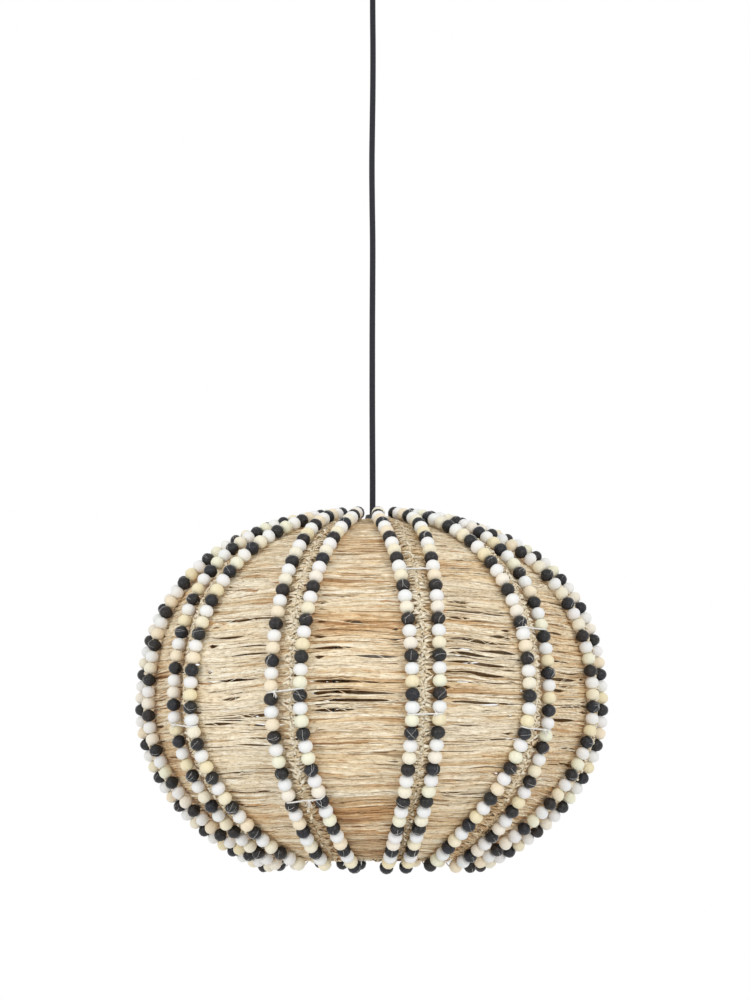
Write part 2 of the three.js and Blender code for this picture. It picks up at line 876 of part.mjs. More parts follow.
// Terminal block under the bracket, with a raised middle
function terminalBlock() {
  const half = terminalWidth / 2;
  const step = half * (1 - terminalStepShare);
  const shape = new THREE.Shape([
    [-half, 0],
    [half, 0],
    [half, -terminalHeight * terminalStepShare],
    [step, -terminalHeight * terminalStepShare],
    [step, -terminalHeight],
    [-step, -terminalHeight],
    [-step, -terminalHeight * terminalStepShare],
    [-half, -terminalHeight * terminalStepShare],
  ].map(([y, z]) => new THREE.Vector2(y, z)));
  const geometry = new THREE.ExtrudeGeometry(shape, { depth: terminalLength, bevelEnabled: false });
  geometry.translate(0, 0, -terminalLength / 2);
  geometry.rotateX(Math.PI / 2);
  geometry.rotateZ(Math.PI / 2);
  return closed(geometry);
}

// Assembly: the ceiling fitting at the top, the lamp hanging from the cord
const ceilingPivot = -cupDepth - seatGap - gripFlangeBelowPivot;
const bellyLevel = ceilingPivot - cordFreeLength - pivotHeight;

const group = new THREE.Group();
const lamp = new THREE.Group();
lamp.position.z = bellyLevel;
group.add(lamp);

function add(parent, name, geometry, material) {
  const mesh = new THREE.Mesh(geometry, material);
  mesh.name = name;
  parent.add(mesh);
  return mesh;
}

const number = (n) => String(n).padStart(2, '0');

add(group, 'ceiling_bracket', ceilingBracket(), finishes.steel);
add(group, 'ceiling_cup', ceilingCup(), finishes.cup);
for (const [name, turn] of [['right', 0], ['left', Math.PI]]) {
  const screw = add(group, `cup_screw_${name}`, sideScrew(), finishes.steel);
  screw.rotation.z = turn;
  screw.position.set((cupRadius + seatGap) * Math.cos(turn), 0, -sideScrewDepth);
}
add(group, 'terminal_block', terminalBlock(), finishes.ceramic).position.z = -bracketThickness - seatGap;

const ceilingGrip = add(group, 'ceiling_cord_grip', cordGrip(), finishes.plastic);
ceilingGrip.rotation.x = Math.PI;
ceilingGrip.position.z = ceilingPivot;
add(group, 'grip_nut', gripNut(), finishes.plastic).position.z = -cupDepth + cupWall + seatGap;

const tailFoot = ceilingPivot + tailClearance;
const tailTop = -bracketThickness - 2 * seatGap - terminalHeight;
add(group, 'ceiling_cord_tail', cordTail(tailFoot, tailTop), finishes.cord);
add(group, 'cord', cord(ceilingPivot), finishes.cord);

const lampGrip = add(lamp, 'lamp_cord_grip', cordGrip(), finishes.plastic);
lampGrip.position.z = pivotHeight;
add(lamp, 'lamp_cord_tail', cordTail(insertTop + seatGap, pivotHeight - tailClearance), finishes.cord);
add(lamp, 'lampholder_cap', lampholderCap(), finishes.plastic);
add(lamp, 'lampholder_body', lampholderBody(), finishes.plastic);
add(lamp, 'contact_insert', contactInsert(), finishes.ceramic);
add(lamp, 'centre_contact', centreContact(), finishes.brass);
add(lamp, 'screw_shell', screwShell(), finishes.brass);
add(lamp, 'shade_ring', shadeRing(), finishes.plastic);
add(lamp, 'bulb_cap', bulbCap(), finishes.bulbCap);
add(lamp, 'bulb_glass', bulbGlass(), finishes.glass);
add(lamp, 'spider', spider(), finishes.wire);
add(lamp, 'top_ring', wireRing(topRing, topRingSides), finishes.wire);
add(lamp, 'bottom_ring', wireRing(bottomRing, bottomRingSides), finishes.wire);
add(lamp, 'raffia_upper', raffiaSkin(crownEnd, -seatGap / 2), finishes.raffia);
add(lamp, 'raffia_lower', raffiaSkin(seatGap / 2, baseEnd), finishes.raffia);

ribTurns.forEach((turn, k) => {
  add(lamp, `rib_${number(k + 1)}`, rib(turn), finishes.wire);
  add(lamp, `bead_string_${number(2 * k + 1)}`, beadString(k, -1), finishes.beads);
  add(lamp, `bead_string_${number(2 * k + 2)}`, beadString(k, 1), finishes.beads);
});

export default group;
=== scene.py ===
import math
import random

import bmesh
import bpy
import numpy as np
from mathutils import Matrix, Vector, noise


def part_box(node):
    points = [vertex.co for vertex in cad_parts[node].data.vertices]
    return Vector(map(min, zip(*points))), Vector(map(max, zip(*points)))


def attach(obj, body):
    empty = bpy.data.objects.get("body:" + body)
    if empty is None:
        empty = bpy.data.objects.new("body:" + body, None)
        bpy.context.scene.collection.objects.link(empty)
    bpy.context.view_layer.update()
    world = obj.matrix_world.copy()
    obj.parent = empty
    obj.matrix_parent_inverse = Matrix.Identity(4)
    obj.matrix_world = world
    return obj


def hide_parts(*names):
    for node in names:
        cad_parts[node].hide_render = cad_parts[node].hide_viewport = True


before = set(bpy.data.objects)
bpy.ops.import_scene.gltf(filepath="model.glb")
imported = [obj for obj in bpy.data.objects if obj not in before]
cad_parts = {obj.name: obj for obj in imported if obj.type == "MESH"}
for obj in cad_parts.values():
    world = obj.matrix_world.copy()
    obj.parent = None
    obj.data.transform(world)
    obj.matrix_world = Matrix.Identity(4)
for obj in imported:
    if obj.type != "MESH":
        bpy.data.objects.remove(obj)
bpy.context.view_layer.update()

# Camera: it stands 1.82 m in front of the lamp, a little lower than the shade's widest level,
# and looks up at it by ten degrees, as the photograph was taken.
belly_level = -0.7963
camera_distance = 1.8195
camera_drop = 0.118
camera_pitch = 10.03


def put_in_scene(name, data):
    """A new object in the scene, unturned at the origin."""
    thing = bpy.data.objects.new(name, data)
    bpy.context.scene.collection.objects.link(thing)
    return thing


camera_data = bpy.data.cameras.new("camera")
camera_data.lens = 68.08
camera_data.sensor_width = 36
camera = put_in_scene("camera", camera_data)
camera.location = (0.0024, -camera_distance, belly_level - camera_drop)
camera.rotation_euler = (math.radians(90 + camera_pitch), 0, 0)
bpy.context.scene.camera = camera


# Ceiling cup: a drawn steel cup of 100 mm, powder-coated black, with a rolled lower corner. The cord
# leaves it through the middle, and two side screws hold it on the bracket's tabs.
cup_radius = 0.05
cup_depth = 0.042
cup_wall = 0.0012
grip_hole = 0.0051
side_screw_level = -0.01


def new_material(name, colour, roughness, metallic=0.0):
    """A material whose Principled shader has these values on its own sockets."""
    material = bpy.data.materials.new(name)
    material.use_nodes = True
    shader = material.node_tree.nodes["Principled BSDF"]
    shader.inputs["Base Color"].default_value = (*colour, 1)
    shader.inputs["Roughness"].default_value = roughness
    shader.inputs["Metallic"].default_value = metallic
    return material, material.node_tree, shader


def maths(tree, operation, first, second=None, third=None):
    """A Math node; each value is a number or another node's socket."""
    node = tree.nodes.new("ShaderNodeMath")
    node.operation = operation
    for socket, value in zip(node.inputs, (first, second, third)):
        if isinstance(value, bpy.types.NodeSocket):
            tree.links.new(value, socket)
        elif value is not None:
            socket.default_value = value
    return node.outputs[0]


def ramp(tree, value, stops):
    """A ColorRamp from (place, colour) pairs."""
    node = tree.nodes.new("ShaderNodeValToRGB")
    elements = node.color_ramp.elements
    while len(elements) < len(stops):
        elements.new(1)
    for element, (place, colour) in zip(elements, stops):
        element.position = place
        element.color = (*colour, 1)
    tree.links.new(value, node.inputs["Fac"])
    return node.outputs["Color"]


def spread(tree, value, low, high, start=0.3, end=0.7):
    """Stretches a noise's middle range to the range from low to high."""
    node = tree.nodes.new("ShaderNodeMapRange")
    for name, number in (("From Min", start), ("From Max", end), ("To Min", low), ("To Max", high)):
        node.inputs[name].default_value = number
    tree.links.new(value, node.inputs["Value"])
    return node.outputs["Result"]


def add_bump(tree, height, strength, distance):
    """Feeds a height into the shader's normal."""
    node = tree.nodes.new("ShaderNodeBump")
    node.inputs["Strength"].default_value = strength
    node.inputs["Distance"].default_value = distance
    tree.links.new(height, node.inputs["Height"])
    tree.links.new(node.outputs["Normal"], tree.nodes["Principled BSDF"].inputs["Normal"])


def noise_texture(tree, vector, scale, detail=2.0, roughness=0.5):
    """A noise pattern on the given coordinates."""
    node = tree.nodes.new("ShaderNodeTexNoise")
    node.inputs["Scale"].default_value = scale
    node.inputs["Detail"].default_value = detail
    node.inputs["Roughness"].default_value = roughness
    tree.links.new(vector, node.inputs["Vector"])
    return node.outputs["Fac"]


def scaled_axes(tree, vector, scales):
    """Coordinates with another scale along each axis."""
    mapping = tree.nodes.new("ShaderNodeMapping")
    mapping.inputs["Scale"].default_value = scales
    tree.links.new(vector, mapping.inputs["Vector"])
    return mapping.outputs["Vector"]


def object_coordinates(tree, scales=None):
    """The piece's own coordinates, with a scale along each axis where one is given."""
    place = tree.nodes.new("ShaderNodeTexCoord").outputs["Object"]
    return scaled_axes(tree, place, scales) if scales else place


def used_surface(name, dark, pale, roughness, metallic, grain, depth, scales=None):
    """Two close tones in a fine grain and broad stains, with a roughness that follows them."""
    material, tree, shader = new_material(name, pale, roughness, metallic)
    fine = noise_texture(tree, object_coordinates(tree, scales), grain, 3, 0.6)
    broad = noise_texture(tree, object_coordinates(tree), grain / 12, 2)
    light = maths(tree, "MULTIPLY_ADD", fine, 0.5, maths(tree, "MULTIPLY", broad, 0.5))
    tree.links.new(ramp(tree, light, [(0.32, dark), (0.68, pale)]), shader.inputs["Base Color"])
    tree.links.new(spread(tree, broad, roughness * 0.8, min(roughness * 1.25, 1)),
                   shader.inputs["Roughness"])
    add_bump(tree, fine, 0.35, depth)
    return material


def fillet(corners, closed=True):
    """Points of a profile from (radius, height, rounding) corners."""
    points = []
    for i, (x, y, rounding) in enumerate(corners):
        corner = Vector((x, y))
        if rounding == 0 or (not closed and i in (0, len(corners) - 1)):
            points.append(corner)
            continue
        before = Vector(corners[i - 1][:2]) - corner
        after = Vector(corners[(i + 1) % len(corners)][:2]) - corner
        reach = rounding / math.tan(before.angle(after) / 2)
        start = corner + before.normalized() * min(reach, before.length * 0.48)
        end = corner + after.normalized() * min(reach, after.length * 0.48)
        for share in (0, 0.25, 0.5, 0.75, 1):
            points.append(start.lerp(corner, share).lerp(corner.lerp(end, share), share))
    return points


def turned(profile, segments=48, relief=None):
    """A body of revolution. A profile that starts on the axis stays open there, any other is a
    closed loop. relief gives a change of radius from a turn, a radius and a height."""
    shape = bmesh.new()
    rim = [shape.verts.new((radius, 0, height)) for radius, height in profile]
    pairs = list(zip(rim, rim[1:]))
    if profile[0][0] > 0:
        pairs.append((rim[-1], rim[0]))
    edges = [shape.edges.new(pair) for pair in pairs]
    bmesh.ops.spin(shape, geom=rim + edges, cent=(0, 0, 0), axis=(0, 0, 1), angle=2 * math.pi,
                   steps=segments, use_merge=True)
    bmesh.ops.remove_doubles(shape, verts=shape.verts, dist=1e-7)
    bmesh.ops.recalc_face_normals(shape, faces=shape.faces)
    if relief:
        for v in shape.verts:
            radius = math.hypot(v.co.x, v.co.y)
            if radius > 1e-6:
                v.co.xy *= 1 + relief(math.atan2(v.co.y, v.co.x), radius, v.co.z) / radius
    return shape


def rod(radius, length, centre, axis="Z", segments=24):
    """A cylinder to cut a hole with."""
    shape = bmesh.new()
    turn = {"Z": Matrix(), "X": Matrix.Rotation(math.pi / 2, 4, "Y"),
            "Y": Matrix.Rotation(math.pi / 2, 4, "X")}[axis]
    bmesh.ops.create_cone(shape, cap_ends=True, segments=segments, radius1=radius, radius2=radius,
                          depth=length, matrix=Matrix.Translation(centre) @ turn)
    return shape


def mesh_of(name, shape):
    """A mesh from a bmesh, which is freed."""
    mesh = bpy.data.meshes.new(name)
    shape.to_mesh(mesh)
    shape.free()
    return mesh


def gather(shapes):
    """Puts several shapes into one."""
    whole = bmesh.new()
    carrier = bpy.data.meshes.new("carrier")
    for shape in shapes:
        shape.to_mesh(carrier)
        shape.free()
        whole.from_mesh(carrier)
    bpy.data.meshes.remove(carrier)
    return whole


def cut_out(shape, tools):
    """Cuts solids that don't touch each other out of a shape."""
    placed = [put_in_scene("solid", mesh_of("solid", solid)) for solid in (shape, gather(tools))]
    modifier = placed[0].modifiers.new("cut", "BOOLEAN")
    modifier.object = placed[1]
    modifier.solver = "EXACT"
    result = bmesh.new()
    result.from_object(placed[0], bpy.context.evaluated_depsgraph_get())
    for solid in placed:
        bpy.data.objects.remove(solid)
    return result


def declare(piece, body, nodes):
    """Says which body a piece rides on and the CAD nodes that it stands for."""
    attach(piece, body)
    if nodes:
        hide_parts(*nodes)
    return piece


def finish_mesh(name, shape, materials, body, nodes=(), crease=None):
    """Turns a bmesh into a piece that rides on a body and stands for CAD nodes. Edges that turn
    by more than the crease, in degrees, stay sharp."""
    mesh = mesh_of(name, shape)
    for material in materials:
        mesh.materials.append(material)
    mesh.polygons.foreach_set("use_smooth", [True] * len(mesh.polygons))
    if crease:
        mesh.set_sharp_from_angle(angle=math.radians(crease))
    return declare(put_in_scene(name, mesh), body, nodes)


powder_coat = used_surface("cup_powder_coat", (0.022, 0.022, 0.025), (0.04, 0.04, 0.044),
                           0.45, 0.0, 2200, 0.0002)
cup_shape = turned(fillet([
    (grip_hole, -cup_depth, 0.0003), (cup_radius, -cup_depth, 0.012),
    (cup_radius, -0.0042, 0.0006), (cup_radius, -0.0003, 0.0005),
    (cup_radius - cup_wall, -0.0003, 0.0005), (cup_radius - cup_wall, -cup_depth + cup_wall, 0.0108),
    (grip_hole, -cup_depth + cup_wall, 0.0003)]), 96)
cup_shape = cut_out(cup_shape, [rod(0.0022, 0.11, (0, 0, side_screw_level), "X")])
ceiling_cup = finish_mesh("ceiling_cup_shell", cup_shape, [powder_coat], "ceiling_fitting",
                          ["ceiling_cup"], 40)


# Ceiling bracket: a zinc-plated steel strap of 14 by 2 mm with a tab folded down at each end. It has
# two holes for ceiling screws, and a threaded hole in each tab for the cup's side screws.
bracket_reach = 0.048
bracket_width = 0.014
bracket_gauge = 0.002
bracket_tab = 0.016
ceiling_screw_reach = 0.028
ceiling_screw_hole = 0.00225
side_screw_hole = 0.0021
zinc = used_surface("bracket_zinc", (0.42, 0.42, 0.43), (0.62, 0.61, 0.58), 0.38, 0.9, 900, 0.0001,
                    (0.25, 2, 1))


def extruded(outline, width):
    """A flat shape in X and Z, drawn out along Y to both sides, with its edges just broken."""
    shape = bmesh.new()
    face = shape.faces.new([shape.verts.new((x, -width / 2, z)) for x, z in outline])
    made = bmesh.ops.extrude_face_region(shape, geom=[face])["geom"]
    moved = [v for v in made if isinstance(v, bmesh.types.BMVert)]
    bmesh.ops.translate(shape, verts=moved, vec=(0, width, 0))
    bmesh.ops.recalc_face_normals(shape, faces=shape.faces)
    rims = [e for e in shape.edges if len({abs(f.normal.y) > 0.9 for f in e.link_faces}) == 2]
    bmesh.ops.bevel(shape, geom=rims, offset=0.00025, offset_type="OFFSET", segments=2, profile=0.5,
                    affect="EDGES", material=-1)
    return shape


strap = [(-bracket_reach, 0, 0.0026), (bracket_reach, 0, 0.0026), (bracket_reach, -bracket_tab, 0.0002),
         (bracket_reach - bracket_gauge, -bracket_tab, 0.0002),
         (bracket_reach - bracket_gauge, -bracket_gauge, 0.0008),
         (bracket_gauge - bracket_reach, -bracket_gauge, 0.0008),
         (bracket_gauge - bracket_reach, -bracket_tab, 0.0002), (-bracket_reach, -bracket_tab, 0.0002)]
bracket_shape = cut_out(extruded(fillet(strap), bracket_width), [
    rod(ceiling_screw_hole, 0.01, (ceiling_screw_reach, 0, -0.001)),
    rod(ceiling_screw_hole, 0.01, (-ceiling_screw_reach, 0, -0.001)),
    rod(side_screw_hole, 0.2, (0, 0, side_screw_level), "X")])
ceiling_bracket = finish_mesh("ceiling_strap", bracket_shape, [zinc], "ceiling_fitting",
                              ["ceiling_bracket"], 40)


# Cup side screws: two short zinc-plated screws with a domed, slotted head, one through each side of
# the cup into the bracket's tab.
head_shape = [(0, -0.0046, 0), (0.0019, -0.0046, 0.0005), (0.0019, 0, 0), (0.0042, 0, 0.0003),
              (0.0042, 0.0022, 0.0012), (0, 0.003, 0)]
for side, word in ((1, "right"), (-1, "left")):
    slot_tool = bmesh.new()
    bmesh.ops.create_cube(slot_tool, size=1, matrix=Matrix.Translation((0, 0, 0.0032))
                          @ Matrix.Diagonal((0.02, 0.0009, 0.0024, 1)))
    screw_shape = cut_out(turned(fillet(head_shape, closed=False), 32), [slot_tool])
    place = Matrix.Translation((side * 0.0503, 0, side_screw_level)) @ Matrix.Rotation(
        side * math.pi / 2, 4, "Y")
    bmesh.ops.transform(screw_shape, matrix=place, verts=screw_shape.verts)
    finish_mesh(f"side_screw_{word}", screw_shape, [zinc], "ceiling_fitting",
                                  [f"cup_screw_{word}"], 40)


# Terminal block: white glazed ceramic with a stepped section, three wire ways through it, and six
# slotted brass screws that clamp the wires from below.
block_top = -0.0023
block_height = 0.011
block_half = 0.015
step_level = block_top - block_height * 0.35
block_foot = block_top - block_height
way_places = (-0.009, 0, 0.009)
glaze = used_surface("terminal_glaze", (0.76, 0.74, 0.69), (0.84, 0.82, 0.78), 0.3, 0.0, 600, 0.0001)
brass = used_surface("screw_brass", (0.55, 0.36, 0.13), (0.78, 0.57, 0.26), 0.3, 0.95, 1200, 0.0001)
block_shape = extruded(fillet([
    (-0.008, block_top, 0.0006), (0.008, block_top, 0.0006), (0.008, step_level, 0.0006),
    (0.0052, step_level, 0.0004), (0.0052, block_foot, 0.0006), (-0.0052, block_foot, 0.0006),
    (-0.0052, step_level, 0.0004), (-0.008, step_level, 0.0006)]), 2 * block_half)
bmesh.ops.rotate(block_shape, verts=block_shape.verts, matrix=Matrix.Rotation(math.pi / 2, 3, "Z"))
ways = [rod(0.0013, 0.03, (x, 0, block_foot + 0.0042), "Y", 16) for x in way_places]
terminal_block = finish_mesh("terminal_block_body", cut_out(block_shape, ways), [glaze],
                             "ceiling_fitting", ["terminal_block"], 40)
screw_places = [(x, y) for x in way_places for y in (-0.0026, 0.0026)]
clamp_shapes = []
for x, y in screw_places:
    clamp_slot = bmesh.new()
    bmesh.ops.create_cube(clamp_slot, size=1, matrix=Matrix.Translation((0, 0, -0.0007))
                          @ Matrix.Rotation(x * 90, 4, "Z") @ Matrix.Diagonal((0.01, 0.0005, 0.0008, 1)))
    clamp = cut_out(turned(fillet([(0, -0.0008, 0), (0.0016, -0.0008, 0.0003), (0.0016, 0.001, 0),
                                   (0, 0.001, 0)], closed=False), 20), [clamp_slot])
    bmesh.ops.translate(clamp, verts=clamp.verts, vec=(x, y, block_foot))
    clamp_shapes.append(clamp)
terminal_screws = finish_mesh("terminal_screws", gather(clamp_shapes), [brass], "ceiling_fitting",
                              (), 40)


# Cord grips: moulded black nylon, one through the cup's bottom and one on the lampholder. A fluted
# flange seats on the metal, a stem goes through the hole, and a flared mouth lets the cord swing.
cord_top = -0.0463
cord_bottom = -0.6137
nut_level = -0.0385
nylon = used_surface("grip_nylon", (0.018, 0.018, 0.02), (0.034, 0.034, 0.038), 0.5, 0.0, 1500, 0.0002)


def cord_grip(name, pivot, upright, body, node):
    """A grip whose mouth opens upwards or downwards at its pivot."""
    def flutes(turn, radius, height):
        return 0.0003 * math.cos(18 * turn) if radius > 0.0066 and height < -0.0002 else 0
    shape = turned(fillet([
        (0.0036, -0.012, 0.0003), (0.0048, -0.012, 0.0005), (0.0048, -0.004, 0.0002),
        (0.0077, -0.004, 0.0004), (0.0077, -0.0016, 0.0006), (0.0066, 0.006, 0.0004),
        (0.0058, 0.006, 0.0003), (0.0036, 0, 0.003)]), 72, flutes)
    if not upright:
        bmesh.ops.rotate(shape, verts=shape.verts, matrix=Matrix.Rotation(math.pi, 3, "X"))
    bmesh.ops.translate(shape, verts=shape.verts, vec=(0, 0, pivot))
    return finish_mesh(name, shape, [nylon], body, [node], 45)


ceiling_grip = cord_grip("ceiling_grip", cord_top, False, "ceiling_fitting", "ceiling_cord_grip")
cord_grip("lamp_grip", cord_bottom, True, "lamp", "lamp_cord_grip")
nut_shape = bmesh.new()
bmesh.ops.create_cone(nut_shape, cap_ends=True, segments=6, radius1=0.0091, radius2=0.0091,
                      depth=0.004, matrix=Matrix.Translation((0, 0, nut_level)))
bmesh.ops.bevel(nut_shape, geom=nut_shape.edges, offset=0.0004, offset_type="OFFSET", segments=2,
                profile=0.5, affect="EDGES", material=-1)
nut_shape = cut_out(nut_shape, [rod(grip_hole, 0.01, (0, 0, nut_level))])
grip_nut = finish_mesh("grip_lock_nut", nut_shape, [nylon], "ceiling_fitting", ["grip_nut"], 40)


# Cord: a round textile cable of 6 mm, braided from dark charcoal yarn over its rubber sheath.
# It hangs taut from the ceiling fitting and has a slight wave from having been rolled up.
cord_radius = 0.003
cord_wave = 0.0007
cord_wave_shares = [0, 0.1, 0.5, 0.3, -0.4, -1, -0.6, 0.1, 0, -0.3, -0.4, -0.4, -0.2, 0.1, 0]


def braid_material():
    """Two sets of yarns that wind round the cord in opposite ways."""
    material, tree, shader = new_material("cord_braid", (0.025, 0.026, 0.033), 0.85)
    split = tree.nodes.new("ShaderNodeSeparateXYZ")
    tree.links.new(object_coordinates(tree), split.inputs[0])
    turn = maths(tree, "ARCTAN2", split.outputs["X"], split.outputs["Y"])
    yarns = maths(tree, "MULTIPLY", turn, 8)
    climb = maths(tree, "MULTIPLY", split.outputs["Z"], 2600)
    one_way = maths(tree, "SINE", maths(tree, "ADD", yarns, climb))
    other_way = maths(tree, "SINE", maths(tree, "SUBTRACT", yarns, climb))
    weave = maths(tree, "MULTIPLY", one_way, other_way)
    height = maths(tree, "MULTIPLY_ADD", weave, 0.5, 0.5)
    lint = noise_texture(tree, object_coordinates(tree), 900, 3)
    # The colour follows the weave's height as well as the lint: the grooves between the yarns are painted
    # darker, as shade.
    shade = maths(tree, "MULTIPLY_ADD", lint, 0.5, maths(tree, "MULTIPLY", height, 0.5))
    colour = ramp(tree, shade, [(0.15, (0.01, 0.0105, 0.014)), (0.85, (0.04, 0.041, 0.052))])
    tree.links.new(colour, shader.inputs["Base Color"])
    shader.inputs["Specular IOR Level"].default_value = 0.3
    add_bump(tree, height, 0.5, 0.0003)
    return material


def round_tube(name, points, radius, material, body, nodes=(), sides=16, ring=False):
    """A piece that is a round tube along a smooth line through points."""
    data = bpy.data.curves.new(name, "CURVE")
    data.dimensions = "3D"
    data.bevel_depth = radius
    data.bevel_resolution = max(sides // 4 - 1, 0)
    data.use_fill_caps = True
    data.resolution_u = 4
    spline = data.splines.new("BEZIER")
    spline.bezier_points.add(len(points) - 1)
    spline.use_cyclic_u = ring
    for handle, point in zip(spline.bezier_points, points):
        handle.co = point
        handle.handle_left_type = "AUTO"
        handle.handle_right_type = "AUTO"
    data.materials.append(material)
    return declare(put_in_scene(name, data), body, nodes)


cord_braid = braid_material()
cord_points = [
    (cord_wave * share, 0, cord_top + (cord_bottom - cord_top) * i / (len(cord_wave_shares) - 1))
    for i, share in enumerate(cord_wave_shares)
]
cord = round_tube("pendant_cord", cord_points[::-1], cord_radius, cord_braid, "cord", ["cord"])
ceiling_tail = round_tube(
    "cord_end_in_cup", [(0, 0, -0.0452), (0, 0, -0.038), (0, 0, -0.031), (0, 0, -0.0245)], cord_radius,
    cord_braid, "ceiling_fitting", ["ceiling_cord_tail"])
round_tube(
    "cord_end_in_holder", [(0, 0, -0.6148), (0, 0, -0.621), (0, 0, -0.628), (0, 0, -0.6353)],
    cord_radius, cord_braid, "lamp", ["lamp_cord_tail"])
for word, colour, x, bend in (("brown", (0.16, 0.06, 0.025), -0.009, -0.012),
                              ("blue", (0.03, 0.09, 0.35), 0.009, -0.012),
                              ("green", (0.12, 0.32, 0.05), 0.0005, 0.0155)):
    insulation = used_surface(f"core_{word}", tuple(0.8 * c for c in colour), colour, 0.4, 0.0, 900, 0.0001)
    way_in = math.copysign(0.0056, bend)
    round_tube(
        f"core_{word}", [(x * 0.12, bend * 0.06, -0.0265), (x * 0.15, bend * 0.1, -0.0225),
                         (x * 0.5, bend * 0.75, -0.0195), (x * 0.95, bend, -0.0135),
                         (x, bend * 0.75, -0.0098), (x, way_in, -0.0091), (x, way_in * 0.6, -0.0091)],
        0.0009, insulation, "ceiling_fitting", (), 12)


# Lampholder: black moulded phenolic in two screwed parts. The domed cap covers the terminals, and
# the body has a threaded skirt with a shoulder that sits on the shade's fitter ring.
phenolic = used_surface("holder_phenolic", (0.02, 0.02, 0.022), (0.038, 0.037, 0.04), 0.36, 0.0, 1400,
                        0.0001)


def turned_piece(name, profile, segments, material, body, node, crease, relief=None,
                 level=belly_level):
    """A turned piece. The heights of its profile count from a level, or else from the belly."""
    shape = turned(profile, segments, relief)
    bmesh.ops.translate(shape, verts=shape.verts, vec=(0, 0, level))
    return finish_mesh(name, shape, [material], body, [node], crease)


def cap_flutes(turn, radius, height):
    return 0.00035 * math.cos(30 * turn) if radius > 0.0215 and height < 0.162 else 0


def skirt_thread(turn, radius, height):
    if radius < 0.0185 or height > 0.146 or height < 0.117:
        return 0
    return -0.00035 * (1 + math.sin(2 * math.pi * height / 0.003 - turn))


cap_profile = fillet([
    (0.0202, 0.1513, 0.0004), (0.0227, 0.1513, 0.0006), (0.0227, 0.1634, 0.006),
    (0.0186, 0.1748, 0.005), (0.009, 0.1783, 0.001), (0.0051, 0.1783, 0.0003),
    (0.0051, 0.1755, 0.0003), (0.0158, 0.1727, 0.003), (0.0202, 0.1626, 0.005)])
turned_piece("holder_cap", cap_profile, 120, phenolic, "lamp", "lampholder_cap", 40, cap_flutes)
skirt_heights = [0.1165 + 0.00025 * i for i in range(118)]
body_profile = (
    fillet([(0.0159, 0.1442, 0.0006), (0.0159, 0.1158, 0.0004), (0.0195, 0.1158, 0.0004)], closed=False)
    + [Vector((0.0195, height)) for height in skirt_heights]
    + fillet([(0.0195, 0.1478, 0.0004), (0.023, 0.1478, 0.0008), (0.023, 0.151, 0.0012),
              (0.0073, 0.151, 0.0004), (0.0073, 0.1442, 0.0004)], closed=False))
turned_piece("holder_body", body_profile, 64, phenolic, "lamp", "lampholder_body", 50,
             skirt_thread)


# Lampholder inside: a glazed insert with a stem carries the terminals, a sprung brass tongue meets the
# bulb's tip, and a brass sleeve with a rolled thread takes the bulb's cap.
screw_pitch = 0.0036


def rolled_thread(turn, radius, height):
    return 0.00028 * math.sin(2 * math.pi * height / screw_pitch - turn)


insert_profile = fillet([
    (0, 0.1442, 0), (0.007, 0.1442, 0.0005), (0.007, 0.1513, 0.0003), (0.0175, 0.1513, 0.0006),
    (0.0175, 0.1603, 0.001), (0, 0.1603, 0)], closed=False)
turned_piece("holder_insert", insert_profile, 48, glaze, "lamp", "contact_insert", 40)
tongue_profile = fillet([
    (0, 0.1431, 0), (0.0018, 0.1431, 0.0005), (0.0028, 0.1434, 0.0004), (0.004, 0.1434, 0.0002),
    (0.004, 0.1439, 0.0002), (0, 0.1439, 0)], closed=False)
turned_piece("centre_tongue", tongue_profile, 32, brass, "lamp", "centre_contact", 40)
sleeve_heights = [0.118 + 0.0003 * i for i in range(87)]
sleeve_profile = ([Vector((0.0148, height)) for height in reversed(sleeve_heights)]
                  + [Vector((0.0152, height)) for height in sleeve_heights])
turned_piece("threaded_sleeve", sleeve_profile, 48, brass, "lamp", "screw_shell", 50,
             rolled_thread)


# Shade ring: a moulded black ring with a knurled rim. It screws up the skirt and clamps the fitter ring
# against the shoulder.
def knurl(turn, radius, height):
    return 0.0004 * math.cos(36 * turn) if radius > 0.0262 else 0


shade_ring_profile = fillet([
    (0.0202, 0.1377, 0.0003), (0.0232, 0.1377, 0.0005), (0.0276, 0.1425, 0.0008),
    (0.0276, 0.1457, 0.0006), (0.0202, 0.1457, 0.0003)])
turned_piece("knurled_ring", shade_ring_profile, 144, phenolic, "shade_ring", "shade_ring", 45,
             knurl)


# Bulb: an opal glass globe of 60 mm, cemented into a rolled screw cap of bright aluminium. The cap
# closes in to a contact tip on top.
cap_metal = used_surface("bulb_cap_metal", (0.55, 0.55, 0.56), (0.74, 0.74, 0.75), 0.3, 0.95, 1200, 0.0001)
opal = used_surface("bulb_opal", (0.84, 0.83, 0.79), (0.88, 0.87, 0.84), 0.22, 0.0, 60, 0.0001)


def cap_thread(turn, radius, height):
    if radius < 0.0115 or height > 0.1385 or height < 0.121:
        return 0
    return 0.00032 * (math.sin(2 * math.pi * height / screw_pitch - turn) - 1)


cap_heights = [0.1186 + 0.0003 * i for i in range(70)]
bulb_cap_profile = (
    [Vector((0, 0.1396)), Vector((0.0122, 0.1396)), Vector((0.0122, 0.1186))]
    + [Vector((0.0132, height)) for height in cap_heights]
    + fillet([(0.0128, 0.1397, 0), (0.0075, 0.1408, 0.001), (0.0046, 0.1412, 0.0006),
              (0.0043, 0.1428, 0.0012), (0, 0.1428, 0)], closed=False))
turned_piece("bulb_screw_cap", bulb_cap_profile, 48, cap_metal, "bulb", "bulb_cap", 50,
             cap_thread)
globe_corners = [(0.0119, 0.1246), (0.0119, 0.1186), (0.0132, 0.113), (0.0165, 0.1045),
                 (0.0234, 0.0945), (0.0283, 0.0835), (0.0298, 0.0735), (0.0298, 0.0636),
                 (0.0279, 0.0498), (0.0216, 0.0386), (0.012, 0.0335), (0, 0.0326)]


